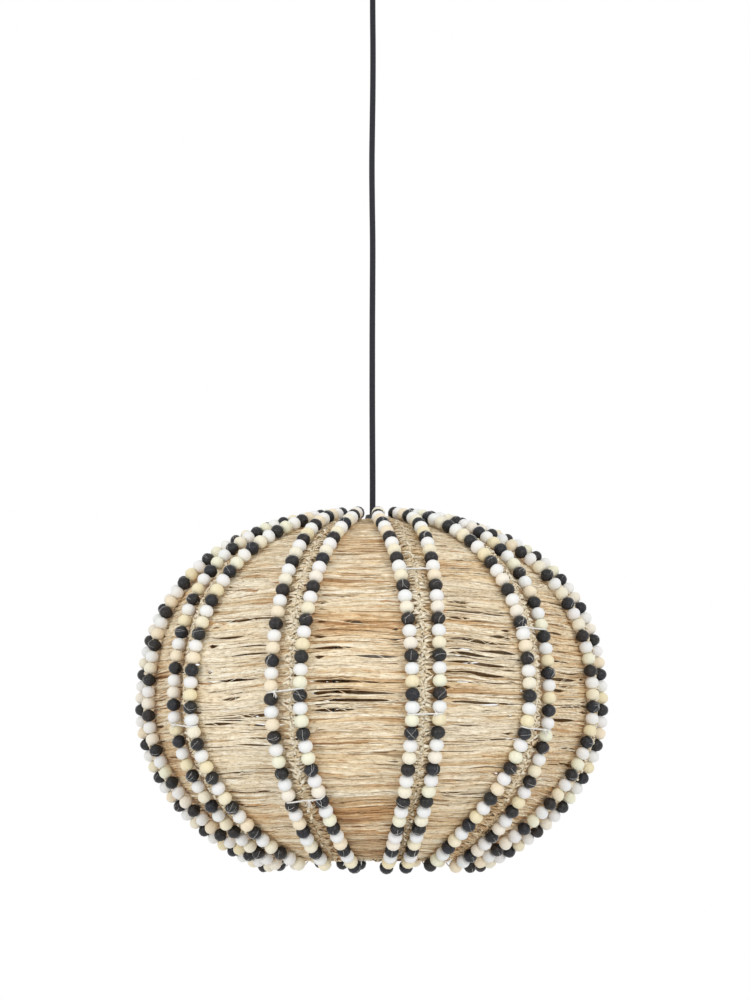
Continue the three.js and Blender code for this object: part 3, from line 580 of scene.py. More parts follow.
def smoothed(corners, steps):
    """A smooth line through a list of points."""
    points = [Vector(corner) for corner in corners]
    line = []
    for i in range(len(points) - 1):
        before, a, b, after = (points[max(i - 1, 0)], points[i], points[i + 1],
                               points[min(i + 2, len(points) - 1)])
        for k in range(steps):
            t = k / steps
            line.append(0.5 * (2 * a + (b - before) * t + (2 * before - 5 * a + 4 * b - after) * t * t
                               + (3 * a - before - 3 * b + after) * t ** 3))
    return line + [points[-1]]


glass_line = smoothed(globe_corners, 4)
glass_inside = [Vector((max(point.x - 0.001, 0), point.y + 0.0008)) for point in glass_line[4:]]
globe_profile = glass_inside[::-1] + [Vector((0.0109, 0.1246))] + glass_line
turned_piece("bulb_globe", globe_profile, 48, opal, "bulb", "bulb_glass", 60)


# Shade cage: twelve steel wires of 3 mm bent to the shade's outline and welded to a top and a bottom
# ring of 4 mm wire, all painted black. Raffia is turned round every one of them.
belly_radius = 0.216
crown_height = 0.178
base_depth = 0.1615
crown_exponent = 2.4
base_exponent = 1.95
top_edge_radius = 0.054
base_edge_radius = 0.105
line_samples = 240
rib_count = 12
first_rib_turn = 11.5
rib_strays = [0, -0.5, 0.7, 0, -0.5, 0]
rib_depth = 0.00435
rib_wire_radius = 0.0015
ring_wire_radius = 0.002
rib_turns = [
    math.radians(first_rib_turn + 360 * k / rib_count + rib_strays[k % len(rib_strays)])
    for k in range(rib_count)
]


def shade_outline():
    """Radius and height along the shade's outline, and the length there, zero at the belly."""
    halves = []
    for height, exponent, edge, sign in (
        (crown_height, crown_exponent, top_edge_radius, 1),
        (base_depth, base_exponent, base_edge_radius, -1),
    ):
        start = math.asin((edge / belly_radius) ** (exponent / 2))
        turns = np.linspace(start, math.pi / 2, line_samples + 1)
        radius = belly_radius * np.sin(turns) ** (2 / exponent)
        rise = height * np.maximum(np.cos(turns), 0) ** (2 / exponent)
        halves.append(np.column_stack([radius, sign * rise]))
    line = np.vstack([halves[0], halves[1][::-1][1:]])
    steps = np.hypot(*np.diff(line, axis=0).T)
    lengths = np.concatenate([[0], np.cumsum(steps)])
    return line, lengths - lengths[line_samples]


outline, outline_lengths = shade_outline()
crown_end = outline_lengths[0]
base_end = outline_lengths[-1]


def on_outline(lengths):
    """Radius and height at lengths along the outline, which runs straight on past its ends."""
    i = np.clip(np.searchsorted(outline_lengths, lengths), 1, len(outline) - 1)
    share = (lengths - outline_lengths[i - 1]) / (outline_lengths[i] - outline_lengths[i - 1])
    return (outline[i - 1] + (outline[i] - outline[i - 1]) * share[..., None]).T


def outline_slope(lengths):
    """How fast the outline goes out and up at lengths along it."""
    reach = 0.0015
    at = np.clip(lengths, crown_end + reach, base_end - reach)
    steps = on_outline(at + reach) - on_outline(at - reach)
    return steps / np.hypot(*steps)


def outward(turns):
    """Level directions away from the lamp's axis, for turns counted from the front."""
    return np.stack([np.sin(turns), -np.cos(turns), 0.0 * turns], axis=-1)


up = np.array([0.0, 0.0, 1.0])


def on_rib(turns, lengths, depth):
    """Points on a rib's line, sunk below the raffia's face, with their normals and slopes."""
    radius, height = on_outline(lengths)
    out, rise = outline_slope(lengths)
    normals = outward(turns) * -rise[..., None] + up * out[..., None]
    downs = outward(turns) * out[..., None] + up * rise[..., None]
    points = outward(turns) * radius[..., None] + up * (height[..., None] + belly_level)
    return points - normals * depth, normals, downs


wire_paint = used_surface("wire_paint", (0.05, 0.05, 0.055), (0.11, 0.11, 0.12), 0.45, 0.0, 1500, 0.0001)
for k, turn in enumerate(rib_turns):
    lengths = np.linspace(crown_end - 0.001, base_end + 0.001, 36)
    points, _, _ = on_rib(turn, lengths, rib_depth)
    round_tube(f"cage_wire_{k + 1:02d}", points.tolist(), rib_wire_radius, wire_paint, "lamp",
               [f"rib_{k + 1:02d}"], 12)
ring_lines = {}
for node in ("top_ring", "bottom_ring"):
    low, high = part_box(node)
    ring_lines[node] = (high[0] - ring_wire_radius, (low[2] + high[2]) / 2)
    radius, level = ring_lines[node]
    turns = np.linspace(0, 2 * math.pi, 17)[:-1]
    round_tube(f"cage_{node}", (outward(turns) * radius + up * level).tolist(), ring_wire_radius,
               wire_paint, "lamp", [node], 16, True)


# Spider: a punched ring that sits on the lampholder, with three arms of 4 mm wire welded on it. The
# arms step up to the top ring beside three of the ribs and carry the whole shade.
fitter_level = belly_level + 0.146
arm_wire_radius = 0.002
arm_start = 0.0235
arm_foot = fitter_level + arm_wire_radius
arm_bends = [(0, 0), (0.35, 0), (0.5, 0.15), (0.62, 0.85), (0.75, 1), (1, 1)]
fitter_profile = fillet([(0.0203, 0, 0.0003), (0.026, 0, 0.0005), (0.026, 0.0015, 0.0005),
                         (0.0203, 0.0015, 0.0003)])
turned_piece("fitter_ring", fitter_profile, 72, wire_paint, "lamp", "spider", 40,
             level=fitter_level)
ring_radius, ring_level = ring_lines["top_ring"]
for word, turn in zip(("front", "right", "left"), rib_turns[::4]):
    reach = [arm_start + (ring_radius - arm_start) * share for share, _ in arm_bends]
    levels = [arm_foot + (ring_level - arm_foot) * share for _, share in arm_bends]
    points = outward(turn) * np.array(reach)[:, None] + up * np.array(levels)[:, None]
    round_tube(f"spider_arm_{word}", points.tolist(), arm_wire_radius, wire_paint, "lamp",
               ["spider"])


# Raffia panels: long strips of dried palm leaf, stretched from rib to rib in nearly level rows, broad
# ones under narrow ones, with their ends folded round the ribs. Bands of them are browner or paler. Some
# rows are painted: darker and browner beside the bead strings as painted shade, darker and warmer in the
# under layer as painted shade, and lighter towards the top as painted light. The strings' distances from
# the ribs are set here, and slits stay open between some rows.
random.seed(11)
panel_step = 0.0005
broad_slit_count = 9
broad_slit_gape = 1.6
edge_slit_count = 20
fine_slit_count = 40
bead_radius = 0.0062
station_share = 0.75
# For six ribs, and again for the other six, left and right string: bead widths off the rib three
# quarters of the way up, at the belly, three quarters of the way down, and at the bottom ring
string_offset_shares = [
    ((1.35, 0.69, 0.77, 0.62), (1.38, 1.03, 0.62, 0.74)),
    ((1.41, 0.7, 2.16, 1.75), (0.9, 1.19, 0.72, 0.79)),
    ((2.42, 1.39, 2.42, 1.5), (0.62, 0.62, 0.75, 0.94)),
    ((1.13, 1.05, 0.97, 1.13), (1.15, 1.91, 2.33, 1.84)),
    ((1.19, 1.52, 0.62, 0.62), (1.7, 0.62, 1.36, 1.72)),
    ((0.85, 1.39, 0.84, 0.62), (1.34, 0.62, 1.39, 1.39)),
]
# By panel: millimetres below the belly, then where the slit starts and ends across the panel
panel_slits = {
    11: [(-90, 0.17, 0.3), (-62.4, 0.36, 0.6), (-38.3, 0.14, 0.48), (-32, 0.47, 0.83),
         (-9.8, 0.12, 0.52), (-0.4, 0.13, 0.87), (6.4, 0.15, 0.86), (14.7, 0.16, 0.51)],
    0: [(-82.5, 0.25, 0.5), (-73.6, 0.24, 0.83), (-66.8, 0.24, 0.47), (-53.1, 0.62, 0.86),
        (-46.7, 0.22, 0.87), (-38.5, 0.54, 0.88), (-33.6, 0.21, 0.6), (-26.2, 0.21, 0.8),
        (-17.5, 0.2, 0.8), (6.5, 0.2, 0.89), (13.2, 0.55, 0.66)],
    10: [(-68, 0.18, 0.9), (-52, 0.17, 0.53), (-16, 0.3, 0.53), (0, 0.33, 0.51), (17, 0.46, 0.88),
         (24, 0.13, 0.43), (25, 0.5, 0.93)],
    1: [(-63, 0.32, 0.6), (-20, 0.26, 0.72), (-10, 0.26, 0.51), (17, 0.23, 0.72)],
}
# By panel: millimetres below the belly, half height, change of tone and change of warmth
panel_bands = {
    # In the front panel, the light bands 250 and 150 mm above the belly are painted light on its upper
    # rows.
    11: [(-150, 60, 0.07, 0.05), (-250, 25, 0.12, 0), (-205, 20, -0.08, 0.35), (-155, 12, -0.22, 0.45),
         (-120, 10, 0.08, -0.1), (-103, 8, -0.15, 0.35), (-84, 8, 0.15, -0.3), (-62, 13, -0.14, 0.4),
         (-42, 5, 0.16, -0.3), (-25, 8, 0.02, 0), (-10, 6, -0.1, 0.3), (10, 14, 0.06, -0.2),
         (85, 14, 0.1, -0.1), (112, 12, -0.2, 0.55), (130, 40, 0, 0.12), (150, 20, -0.12, 0),
         (180, 8, -0.15, -0.2)],
    0: [(0, 400, 0.13, 0), (-125, 12, -0.12, 0.4), (-95, 8, 0.05, 0), (-62, 6, -0.12, 0.4),
        (-42, 5, 0.02, 0.1), (-32, 6, 0.2, -0.5), (-3, 5, -0.14, 0.45), (25, 20, 0.1, -0.2),
        (58, 6, -0.06, 0.2)],
    10: [(-30, 90, 0.14, -0.2), (0, 400, 0.07, 0), (100, 50, 0.14, -0.1), (115, 15, -0.15, 0.5)],
    1: [(-40, 120, 0.08, 0.3), (-90, 10, 0.12, 0)],
}


def gore_beside(rib, side):
    """The panel on one side of a rib. Each panel has the number of the rib at its left."""
    return (rib - 1) % rib_count if side < 0 else rib


def half_turn(gore):
    """Half the angle between the two ribs of a panel."""
    return ((rib_turns[(gore + 1) % rib_count] - rib_turns[gore]) % (2 * math.pi)) / 2


def string_offsets(rib, side, lengths):
    """How far a bead string lies from its rib, across the panel, at each length."""
    half = half_turn(gore_beside(rib, side))
    stations = np.array([crown_end, station_share * crown_end, 0, station_share * base_end, base_end])
    shares = string_offset_shares[rib % 6][0 if side < 0 else 1]
    values = np.array([top_edge_radius * math.sin(half) / 2,
                       *(2 * bead_radius * share for share in shares)])
    at = np.clip(np.searchsorted(stations, lengths) - 1, 0, 3)
    share = np.clip((lengths - stations[at]) / (stations[at + 1] - stations[at]), 0, 1)
    ease = share * share * (3 - 2 * share)
    return values[at] + (values[at + 1] - values[at]) * ease


for gore in range(rib_count):
    if gore not in panel_slits:
        panel_slits[gore] = []
        for _ in range(broad_slit_count):
            start = random.uniform(0.12, 0.6)
            panel_slits[gore].append(
                (random.uniform(-110, 60), start, start + random.uniform(0.15, 0.4)))
    panel_slits[gore] = [(*slit, broad_slit_gape) for slit in panel_slits[gore]]
    for side, start in [(1, 0.03), (1, 0.15), (-1, 0.97), (-1, 0.85)] * edge_slit_count:
        other = start + side * random.uniform(0.05, 0.1)
        panel_slits[gore].append((random.uniform(-150, 150), min(start, other), max(start, other),
                                  random.uniform(0.7, 1.8)))
    for _ in range(fine_slit_count):
        start = random.uniform(0.08, 0.6)
        panel_slits[gore].append((random.uniform(-210, 170), start,
                                  min(start + random.uniform(0.2, 0.75), 0.94),
                                  random.uniform(0.35, 0.8)))
for gore in range(rib_count):
    if gore in panel_bands:
        continue
    panel_bands[gore] = [
        (random.uniform(-220, 180), random.uniform(5, 16), random.uniform(-0.18, 0.14),
         random.uniform(-0.3, 0.5)) for _ in range(10)]


def carried(tree, name, kind):
    """What each point of a mesh carries: its place along its own strand, or its dye."""
    node = tree.nodes.new("ShaderNodeAttribute")
    node.attribute_name = name
    return node.outputs[kind]


def raffia_material():
    """Dry fibre: fine streaks along each strip, broader stains, and a weak sheen."""
    material, tree, shader = new_material("raffia_fibre", (0.75, 0.6, 0.4), 0.6)
    place = carried(tree, "strand", "Vector")
    streaks = noise_texture(tree, scaled_axes(tree, place, (0.16, 1, 1)), 1100, 3, 0.65)
    stains = noise_texture(tree, place, 260, 3, 0.7)
    light = maths(tree, "MULTIPLY_ADD", streaks, 0.6, maths(tree, "MULTIPLY", stains, 0.4))
    grain = ramp(tree, light, [(0.33, (0.4, 0.27, 0.16)), (0.46, (0.9, 0.84, 0.74)),
                               (0.62, (1.18, 1.17, 1.15))])
    tinted = tree.nodes.new("ShaderNodeVectorMath")
    tinted.operation = "MULTIPLY"
    tree.links.new(carried(tree, "dye", "Color"), tinted.inputs[0])
    tree.links.new(grain, tinted.inputs[1])
    tree.links.new(tinted.outputs[0], shader.inputs["Base Color"])
    add_bump(tree, streaks, 0.8, 0.0006)
    return material


def with_layers(shape):
    """The shape, ready to carry a place along a strand and a dye on each point."""
    shape.verts.layers.float_vector.new("strand")
    shape.verts.layers.float_color.new("dye")
    return shape


def corners_of(mesh):
    """The places of a mesh's vertices."""
    return np.array([v.co for v in mesh.vertices])


def strand_mesh(sides, steps, material=0):
    """A straight prism with rings along it, as a mesh to bend, and its corners. Four sides make a
    ribbon with two broad faces."""
    prism = bmesh.new()
    radius = math.sqrt(2) if sides == 4 else 1
    bmesh.ops.create_cone(prism, cap_ends=True, segments=sides, radius1=radius, radius2=radius, depth=1,
                          matrix=Matrix.Rotation(math.pi / sides, 4, "Z"))
    lengthwise = [e for e in prism.edges if abs(e.verts[0].co.z - e.verts[1].co.z) > 0.5]
    bmesh.ops.subdivide_edges(prism, edges=lengthwise, cuts=steps - 1)
    for face in prism.faces:
        face.material_index = material
    mesh = mesh_of("strand", with_layers(prism))
    return mesh, corners_of(mesh)


def dye(tones, warmths):
    """Raffia colours: a tone runs from dark brown to pale straw, a warmth towards orange."""
    stops = [0, 0.25, 0.55, 0.8, 1]
    cool = np.array([[0.07, 0.045, 0.025], [0.32, 0.225, 0.13], [0.62, 0.49, 0.31],
                     [0.82, 0.73, 0.55], [0.92, 0.88, 0.76]])
    warm = np.array([[0.08, 0.035, 0.012], [0.36, 0.17, 0.065], [0.62, 0.38, 0.18],
                     [0.8, 0.62, 0.38], [0.9, 0.79, 0.6]])
    tones = np.clip(tones, 0, 1)
    warmths = np.clip(warmths, 0, 1)[:, None]
    pale = np.stack([np.interp(tones, stops, cool[:, c]) for c in range(3)], axis=1)
    burnt = np.stack([np.interp(tones, stops, warm[:, c]) for c in range(3)], axis=1)
    return pale + (burnt - pale) * warmths


def one_dye(count, tone, warmth):
    """The same colour at a number of stations."""
    return dye(np.full(count, tone), np.full(count, warmth))


def lay_strand(bundle, strand, points, sides, normals, widths, thickness, colours):
    """Bends a prism along stations and adds it to the bundle. Each station has a point, a side
    and a normal direction, a half width and a colour; between stations it runs smoothly."""
    mesh, corners = strand
    at = (corners[:, 2] + 0.5) * (len(points) - 1)
    low = np.clip(np.floor(at + 1e-6).astype(int), 0, len(points) - 2)
    share = (at - low)[:, None]

    def between(rows):
        return rows[low] * (1 - share) + rows[low + 1] * share

    places = (between(points) + between(sides) * corners[:, :1] * between(widths[:, None])
              + between(normals) * corners[:, 1:2] * thickness / 2)
    reach = float(np.linalg.norm(np.diff(points, axis=0), axis=1).sum())
    start = random.uniform(0, 50)
    along = np.column_stack([
        corners[:, 2] * reach + start, corners[:, 0] * widths.mean() + start, 0 * share + start])
    mesh.vertices.foreach_set("co", places.ravel())
    mesh.attributes["strand"].data.foreach_set("vector", along.ravel())
    mesh.attributes["dye"].data.foreach_set(
        "color", np.column_stack([between(colours), 0 * share + 1]).ravel())
    bundle.from_mesh(mesh)


def wander(seed, places, swing):
    """A smooth random walk with values from -swing to swing."""
    return np.array([noise.noise(Vector((seed, place, 7.7))) for place in places]) * swing


panel_lengths = np.arange(crown_end - 0.002, base_end + 0.002, panel_step)


def panel_frames(gore, lengths):
    """The two rib points of a gore at lengths, and its directions across, upwards and out."""
    left, right = rib_turns[gore], rib_turns[(gore + 1) % rib_count]
    half = half_turn(gore)
    radius, height = on_outline(lengths)
    out, rise = outline_slope(lengths)
    flat = np.hypot(out * math.cos(half), rise)[:, None]
    middle = outward(np.full(len(lengths), left + half))
    normals = (middle * -rise[:, None] + up * out[:, None] * math.cos(half)) / flat
    across = outward(np.full(len(lengths), left + half + math.pi / 2))
    lift = up * (belly_level + height[:, None])
    ends = [outward(np.full(len(lengths), turn)) * radius[:, None] + lift for turn in (left, right)]
    return (*ends, across, np.cross(normals, across), normals)


def panel_flow(gore, lengths, shares):
    """How far the rows sag or climb together at each place, in metres."""
    room = np.clip(np.minimum(lengths - crown_end, base_end - lengths) / 0.03, 0, 1)
    broad = [noise.noise(Vector((gore * 9.1, s * 24, u * 1.7))) for s, u in zip(lengths, shares)]
    fine = [noise.noise(Vector((gore * 5.3, s * 110, u * 4 + 40))) for s, u in zip(lengths, shares)]
    return (np.array(broad) * 0.0034 + np.array(fine) * 0.0011) * room


def panel_dye(gore, lengths, shares, tone, warmth):
    """Colours of the rows: soft stains in both directions, painted shade beside the bead strings,
    painted light that lightens the rows towards the top, a warmer tone towards the bottom, and the
    gore's own bands.
    """
    stain = [noise.noise(Vector((gore * 7.3, s * 45, u * 2.1))) for s, u in zip(lengths, shares)]
    burn = [noise.noise(Vector((gore * 7.3, s * 45, u * 2.1 + 20))) for s, u in zip(lengths, shares)]
    tones = tone + 0.22 * np.array(stain)
    warmths = warmth + 0.5 * np.array(burn)
    chords = 2 * on_outline(lengths)[0] * math.sin(math.pi / rib_count)
    past = np.minimum(chords * shares - string_offsets(gore, 1, lengths),
                      chords * (1 - shares) - string_offsets((gore + 1) % rib_count, -1, lengths))
    # Painted shade: rows within a few millimetres of a bead string's line are made darker and browner, as
    # the string's shade on them.
    edge = np.clip(1 - (past - 0.002) / 0.005, 0, 1)
    # Painted light: the rows above the belly get lighter towards the top.
    tones = tones - 0.14 * edge + np.clip((-lengths - 0.06) / 0.1, 0, 1) * 0.08
    low_down = np.clip((lengths - 0.05) / 0.08, 0, 1)
    warmths = warmths + 0.3 * edge + 0.2 * low_down + 0.4 * low_down * np.array(stain)
    for place, half, shift, heat in panel_bands[gore]:
        near = np.exp(-((lengths * 1000 - place) / half) ** 2)
        tones = tones + shift * near
        warmths = warmths + heat * near
    return dye(tones, warmths)


def open_slits(gore, lengths, shares, widths):
    """Moves the rows aside where a slit stays open, and narrows them if they'd cover it."""
    low, high = lengths - widths, lengths + widths
    for place, start, end, reach in panel_slits[gore]:
        middle = place / 1000
        if abs(middle - lengths[0]) > 0.01:
            continue
        where = np.clip((shares - start) / (end - start) * 2 - 1, -1, 1)
        gape = reach / 1000 * (1 - where ** 2)
        above = lengths < middle
        high = np.where(above & (gape > 0), np.minimum(high, middle - gape), high)
        low = np.where(~above & (gape > 0), np.maximum(low, middle + gape), low)
    narrowest = 0.0003
    closed = high - low < 2 * narrowest
    above_all = low + high < 2 * lengths
    low = np.where(closed & above_all, high - 2 * narrowest, low)
    high = np.where(closed & ~above_all, low + 2 * narrowest, high)
    return (low + high) / 2, (high - low) / 2


def lay_row(bundle, strand, frames, gore, length, climb, lift, half_width, thickness, tone, warmth, span):
    """One strip from rib to rib, or over part of the way, at a height over the raffia's face."""
    seed = random.uniform(0, 100)
    stations = np.linspace(span[0], span[1], 7)
    if span == (0, 1):
        ends = np.array([0, 0.02, 0.045, 0.075, 0.11, 0.15, 0.2])
        stations = np.array([*ends, *np.linspace(0.28, 0.72, 7), *(1 - ends[::-1])])
    lengths = length + climb * (stations - 0.5) + wander(seed, stations * 2.2, 0.0013)
    tuck = np.clip(1 - np.minimum(stations, 1 - stations) / 0.06, 0, 1)
    widths = half_width * (1 + wander(seed + 20, stations * 6, 0.9)) * (1 - 0.45 * tuck)
    if span != (0, 1):
        widths = widths * (0.25 + 0.75 * np.sqrt(np.sin(np.linspace(0.02, math.pi - 0.02, 7))))
    lengths, widths = open_slits(gore, lengths, stations, np.maximum(widths, 0.0002))
    colours = panel_dye(gore, lengths, stations, tone, warmth)
    lengths = lengths + panel_flow(gore, lengths, stations)
    at = np.clip((lengths - panel_lengths[0]) / panel_step, 0, len(panel_lengths) - 1.001)
    whole = at.astype(int)
    part = (at - whole)[:, None]
    left, right, _, sides, normals = (
        rows[whole] * (1 - part) + rows[whole + 1] * part for rows in frames)
    rise = lift + wander(seed + 40, stations * 3, 0.0008) - 0.0022 * tuck
    twist = wander(seed + 60, stations * 2.5, 1.0)[:, None]
    points = left + (right - left) * stations[:, None] + normals * rise[:, None]
    lay_strand(bundle, strand, points, sides * np.cos(twist) + normals * np.sin(twist),
               normals * np.cos(twist) - sides * np.sin(twist), widths, thickness, colours)


raffia_fibre = raffia_material()
strip = strand_mesh(4, 20)
fibre = strand_mesh(3, 6)
for gore in range(rib_count):
    panel = with_layers(bmesh.new())
    frames = panel_frames(gore, panel_lengths)
    # Each layer's tone and warmth follow its depth: the under layer is darker and warmer as painted shade,
    # which shows through the slits between the rows above, and the two upper layers are paler.
    for spacing, half_width, lifts, thickness, depth_shade in (
        (0.0034, 0.003, (-0.0023, -0.0016), 0.0006, 0.16),
        (0.002, 0.0012, (-0.0013, -0.0005), 0.0008, -0.1),
        (0.001, 0.00045, (-0.0006, 0.0001), 0.0004, -0.12),
    ):
        length = crown_end + 0.0012
        while length < base_end - 0.0008:
            fine = half_width < 0.001
            first = random.uniform(0, 0.6)
            span = (first, min(1, first + random.uniform(0.25, 0.8))) if fine else (0, 1)
            lay_row(panel, fibre if fine else strip, frames, gore, length,
                    random.gauss(0, 0.005 if fine else 0.0022), random.uniform(*lifts),
                    half_width * random.uniform(0.6, 1.35), thickness,
                    0.74 - depth_shade + random.gauss(0, 0.2 if fine else 0.15),
                    0.43 + random.gauss(0, 0.2) + 2 * max(depth_shade, 0), span)
            length += spacing * random.uniform(0.5, 1.5)
    finish_mesh(f"raffia_panel_{gore + 1:02d}", panel, [raffia_fibre], "lamp",
                ["raffia_upper", "raffia_lower"], 50)


# Ridges: each rib is bound with raffia from end to end, turn against turn, over the panels' folded ends.
# The turns stand up as a row of small pale knots, and dry fibres stick out between them.
random.seed(37)
wrap_pitch = 0.0029
wrap_height = 0.0034
curls_per_rib = 110
hairs_per_rib = 260
panel_fall = 0.27
loop = strand_mesh(4, 11)
curl = strand_mesh(4, 6)
loop_angles = np.linspace(-0.62 * math.pi, 1.62 * math.pi, 12)
curl_stations = np.linspace(0, 1, 7)


def ridge_fullness(length):
    """How much the ridge's knots stand out: fully down to the belly, hardly at the bottom."""
    return float(np.interp(length, (crown_end, -0.13, -0.08, 0.06, 0.11, base_end),
                           (0.35, 0.6, 1, 0.9, 0.2, 0.1)))


for k, turn in enumerate(rib_turns):
    wrap = with_layers(bmesh.new())
    across = outward(turn + math.pi / 2)
    length = crown_end + 0.001
    while length < base_end - 0.0005:
        lean = random.choice((-1, 1)) * random.uniform(0.3, 0.8)
        wide = random.uniform(0.0022, 0.0031)
        crest = random.uniform(0.001, 0.0026) * ridge_fullness(length)
        lengths = length + lean * wide * np.cos(loop_angles)
        feet, normals, downs = on_rib(turn, lengths, wrap_height - crest)
        sideways = across * np.cos(loop_angles)[:, None]
        upright = normals * np.sin(loop_angles)[:, None]
        tone = random.uniform(0.5, 0.8) + 0.3 * ridge_fullness(length)
        warmth = random.choice((0, 0.1, 0.2, 0.5))
        lay_strand(wrap, loop, feet + sideways * wide + upright * wrap_height, downs, sideways + upright,
                   random.uniform(0.001, 0.0015) * (1 + wander(length * 900, loop_angles, 0.5)),
                   random.uniform(0.0007, 0.0012), one_dye(12, tone, warmth))
        length += wrap_pitch * random.uniform(0.7, 1.3)
    for _ in range(curls_per_rib):
        stations = 2 * curl_stations - 1
        length = random.uniform(crown_end + 0.002, base_end - 0.002)
        if random.random() > ridge_fullness(length):
            continue
        lean = random.gauss(0, 0.9)
        reach = random.uniform(0.0014, 0.003)
        aside = random.uniform(-0.0018, 0.0018)
        feet, normals, downs = on_rib(turn, length + np.sin(lean) * reach * stations, 0)
        rise = random.uniform(0.0024, 0.0042) - 0.2 * abs(aside) - 0.003 * stations ** 2
        points = (feet + across * (aside + math.cos(lean) * reach * stations)[:, None]
                  + normals * rise[:, None])
        sides = across * math.sin(lean) - downs * math.cos(lean)
        lay_strand(wrap, curl, points, sides, normals,
                   random.uniform(0.0008, 0.0015) * (1.1 - 0.4 * np.abs(stations)), 0.0007,
                   one_dye(7, random.uniform(0.94, 1), random.choice((0, 0, 0.2))))
    for side in (-1, 1):
        length = crown_end + 0.003
        while length < base_end - 0.004:
            pale = ridge_fullness(length)
            start, reach = random.uniform(0.0005, 0.002), random.uniform(0.004, 0.0095)
            lengths = (length + reach * random.gauss(0, 0.3) * curl_stations
                       + wander(length * 700, curl_stations, 0.002))
            feet, normals, downs = on_rib(turn, lengths, 0)
            asides = start + reach * curl_stations
            rise = (random.uniform(0.0016, 0.003) * (0.3 + 0.7 * pale) - panel_fall * asides
                    + random.uniform(0, 0.0012) * np.sin(math.pi * curl_stations))
            points = feet + across * (side * asides)[:, None] + normals * rise[:, None]
            lay_strand(wrap, curl, points, downs * -side, normals,
                       random.uniform(0.0006, 0.0014) * (1.1 - 0.85 * curl_stations ** 2), 0.0005,
                       one_dye(7, random.uniform(0.4, 0.8) + 0.35 * pale,
                               random.random() * (1 - 0.7 * pale)))
            length += random.uniform(0.001, 0.0032)
    for _ in range(hairs_per_rib):
        length = random.uniform(crown_end + 0.004, base_end - 0.004)
        side = random.choice((-1, 1))
        reach = random.uniform(0.003, 0.012)
        start = random.uniform(0, 0.012)
        lengths = (length + reach * random.gauss(0, 1) * curl_stations
                   + wander(length * 500, curl_stations, 0.003))
        feet, normals, downs = on_rib(turn, lengths, 0)
        asides = start + reach * 0.6 * curl_stations
        rise = 0.001 - panel_fall * asides + random.uniform(0.0005, 0.0035) * np.sin(3 * curl_stations)
        points = feet + across * (side * asides)[:, None] + normals * rise[:, None]
        lay_strand(wrap, fibre, points, downs * -side, normals, 0.00022 * (1.2 - curl_stations),
                   0.0003, one_dye(7, random.uniform(0.45, 1), random.random()))
    finish_mesh(f"raffia_ridge_{k + 1:02d}", wrap, [raffia_fibre], "lamp",
                ["raffia_upper", "raffia_lower"])


# Ring bindings: the same raffia is turned round the top and the bottom ring between the ribs, where it
# holds the first and the last rows of the panels.
binding_pitch = 0.002
binding_lean = 0.0028
for node, word, lift, size in (("top_ring", "top", 0.0016, 1.25), ("bottom_ring", "bottom", 0, 1)):
    radius, level = ring_lines[node]
    wrap = with_layers(bmesh.new())
    turn = 0.0
    while turn < 2 * math.pi - 0.65 * binding_pitch / radius:
        angles = np.linspace(0, 2.15 * math.pi, 12) + random.uniform(0, 6)
        lean = random.uniform(-0.6, 0.6) * binding_lean / radius
        turns = turn + lean * np.cos(angles)
        out = outward(turns)
        away = out * np.cos(angles)[:, None] + up * np.sin(angles)[:, None]
        points = out * radius + up * (level + lift) + away * random.uniform(0.0024, 0.0046) * size
        across = outward(turns + math.pi / 2)
        lay_strand(wrap, loop, points, -across, away,
                   random.uniform(0.0011, 0.0017) * (1 + wander(turn * 40, angles, 0.4)), 0.0006,
                   one_dye(12, random.uniform(0.6, 0.95), random.random() * 0.6))
        turn += binding_pitch / radius * random.uniform(0.6, 1.4)
    finish_mesh(f"raffia_binding_{word}", wrap, [raffia_fibre], "lamp",
                ["raffia_upper" if word == "top" else "raffia_lower"])


# Bead strings: turned wooden beads of 12 mm on white cotton thread, two strings beside each rib.
# Going down, a black bead is followed by a white and a natural one. They are sealed with matt varnish.
random.seed(23)
bead_pitch = 0.01095
seat_gap = 0.0003
string_overhang = 0.009
thread_radius = 0.0005
fibres_per_string = 16
# For six ribs, and again for the other six, left and right string: how many bead pitches a black bead
# lies past the belly
string_start_shares = [
    (0.09, -0.01), (-0.08, 0.97), (0.24, 0.36), (0.18, 0.89), (0.35, 0.71), (0.35, 0.13),
]


def string_line(rib, side):
    """A string's line of bead centres with its lengths and normals, and the length along it."""
    lengths = np.linspace(crown_end, base_end + string_overhang, line_samples + 1)
    near, far, across, _, normals = panel_frames(gore_beside(rib, side), lengths)
    if side < 0:
        near, across = far, -across
    offsets = string_offsets(rib, side, lengths)
    points = near + across * offsets[:, None] + normals * (bead_radius + seat_gap)
    steps = np.linalg.norm(np.diff(points, axis=0), axis=1)
    return points, normals, lengths, np.concatenate([[0], np.cumsum(steps)])


def string_places(rib, side):
    """Number, centre, normal, onward direction and outline length of each bead of a string."""
    points, normals, lengths, travelled = string_line(rib, side)
    middle = travelled[int(np.argmax(points[:, 2] <= belly_level))]
    start = bead_pitch * string_start_shares[rib % 6][0 if side < 0 else 1]
    first = math.ceil((-middle - start) / bead_pitch + 0.5)
    last = math.floor((travelled[-1] - middle - start) / bead_pitch - 0.5)
    for n in range(first, last + 1):
        goal = middle + start + n * bead_pitch
        i = int(np.clip(np.searchsorted(travelled, goal), 1, line_samples))
        onward = points[i] - points[i - 1]
        share = (goal - travelled[i - 1]) / (travelled[i] - travelled[i - 1])
        yield (n, points[i - 1] + onward * share, normals[i] / np.linalg.norm(normals[i]),
               onward / np.linalg.norm(onward), lengths[i])


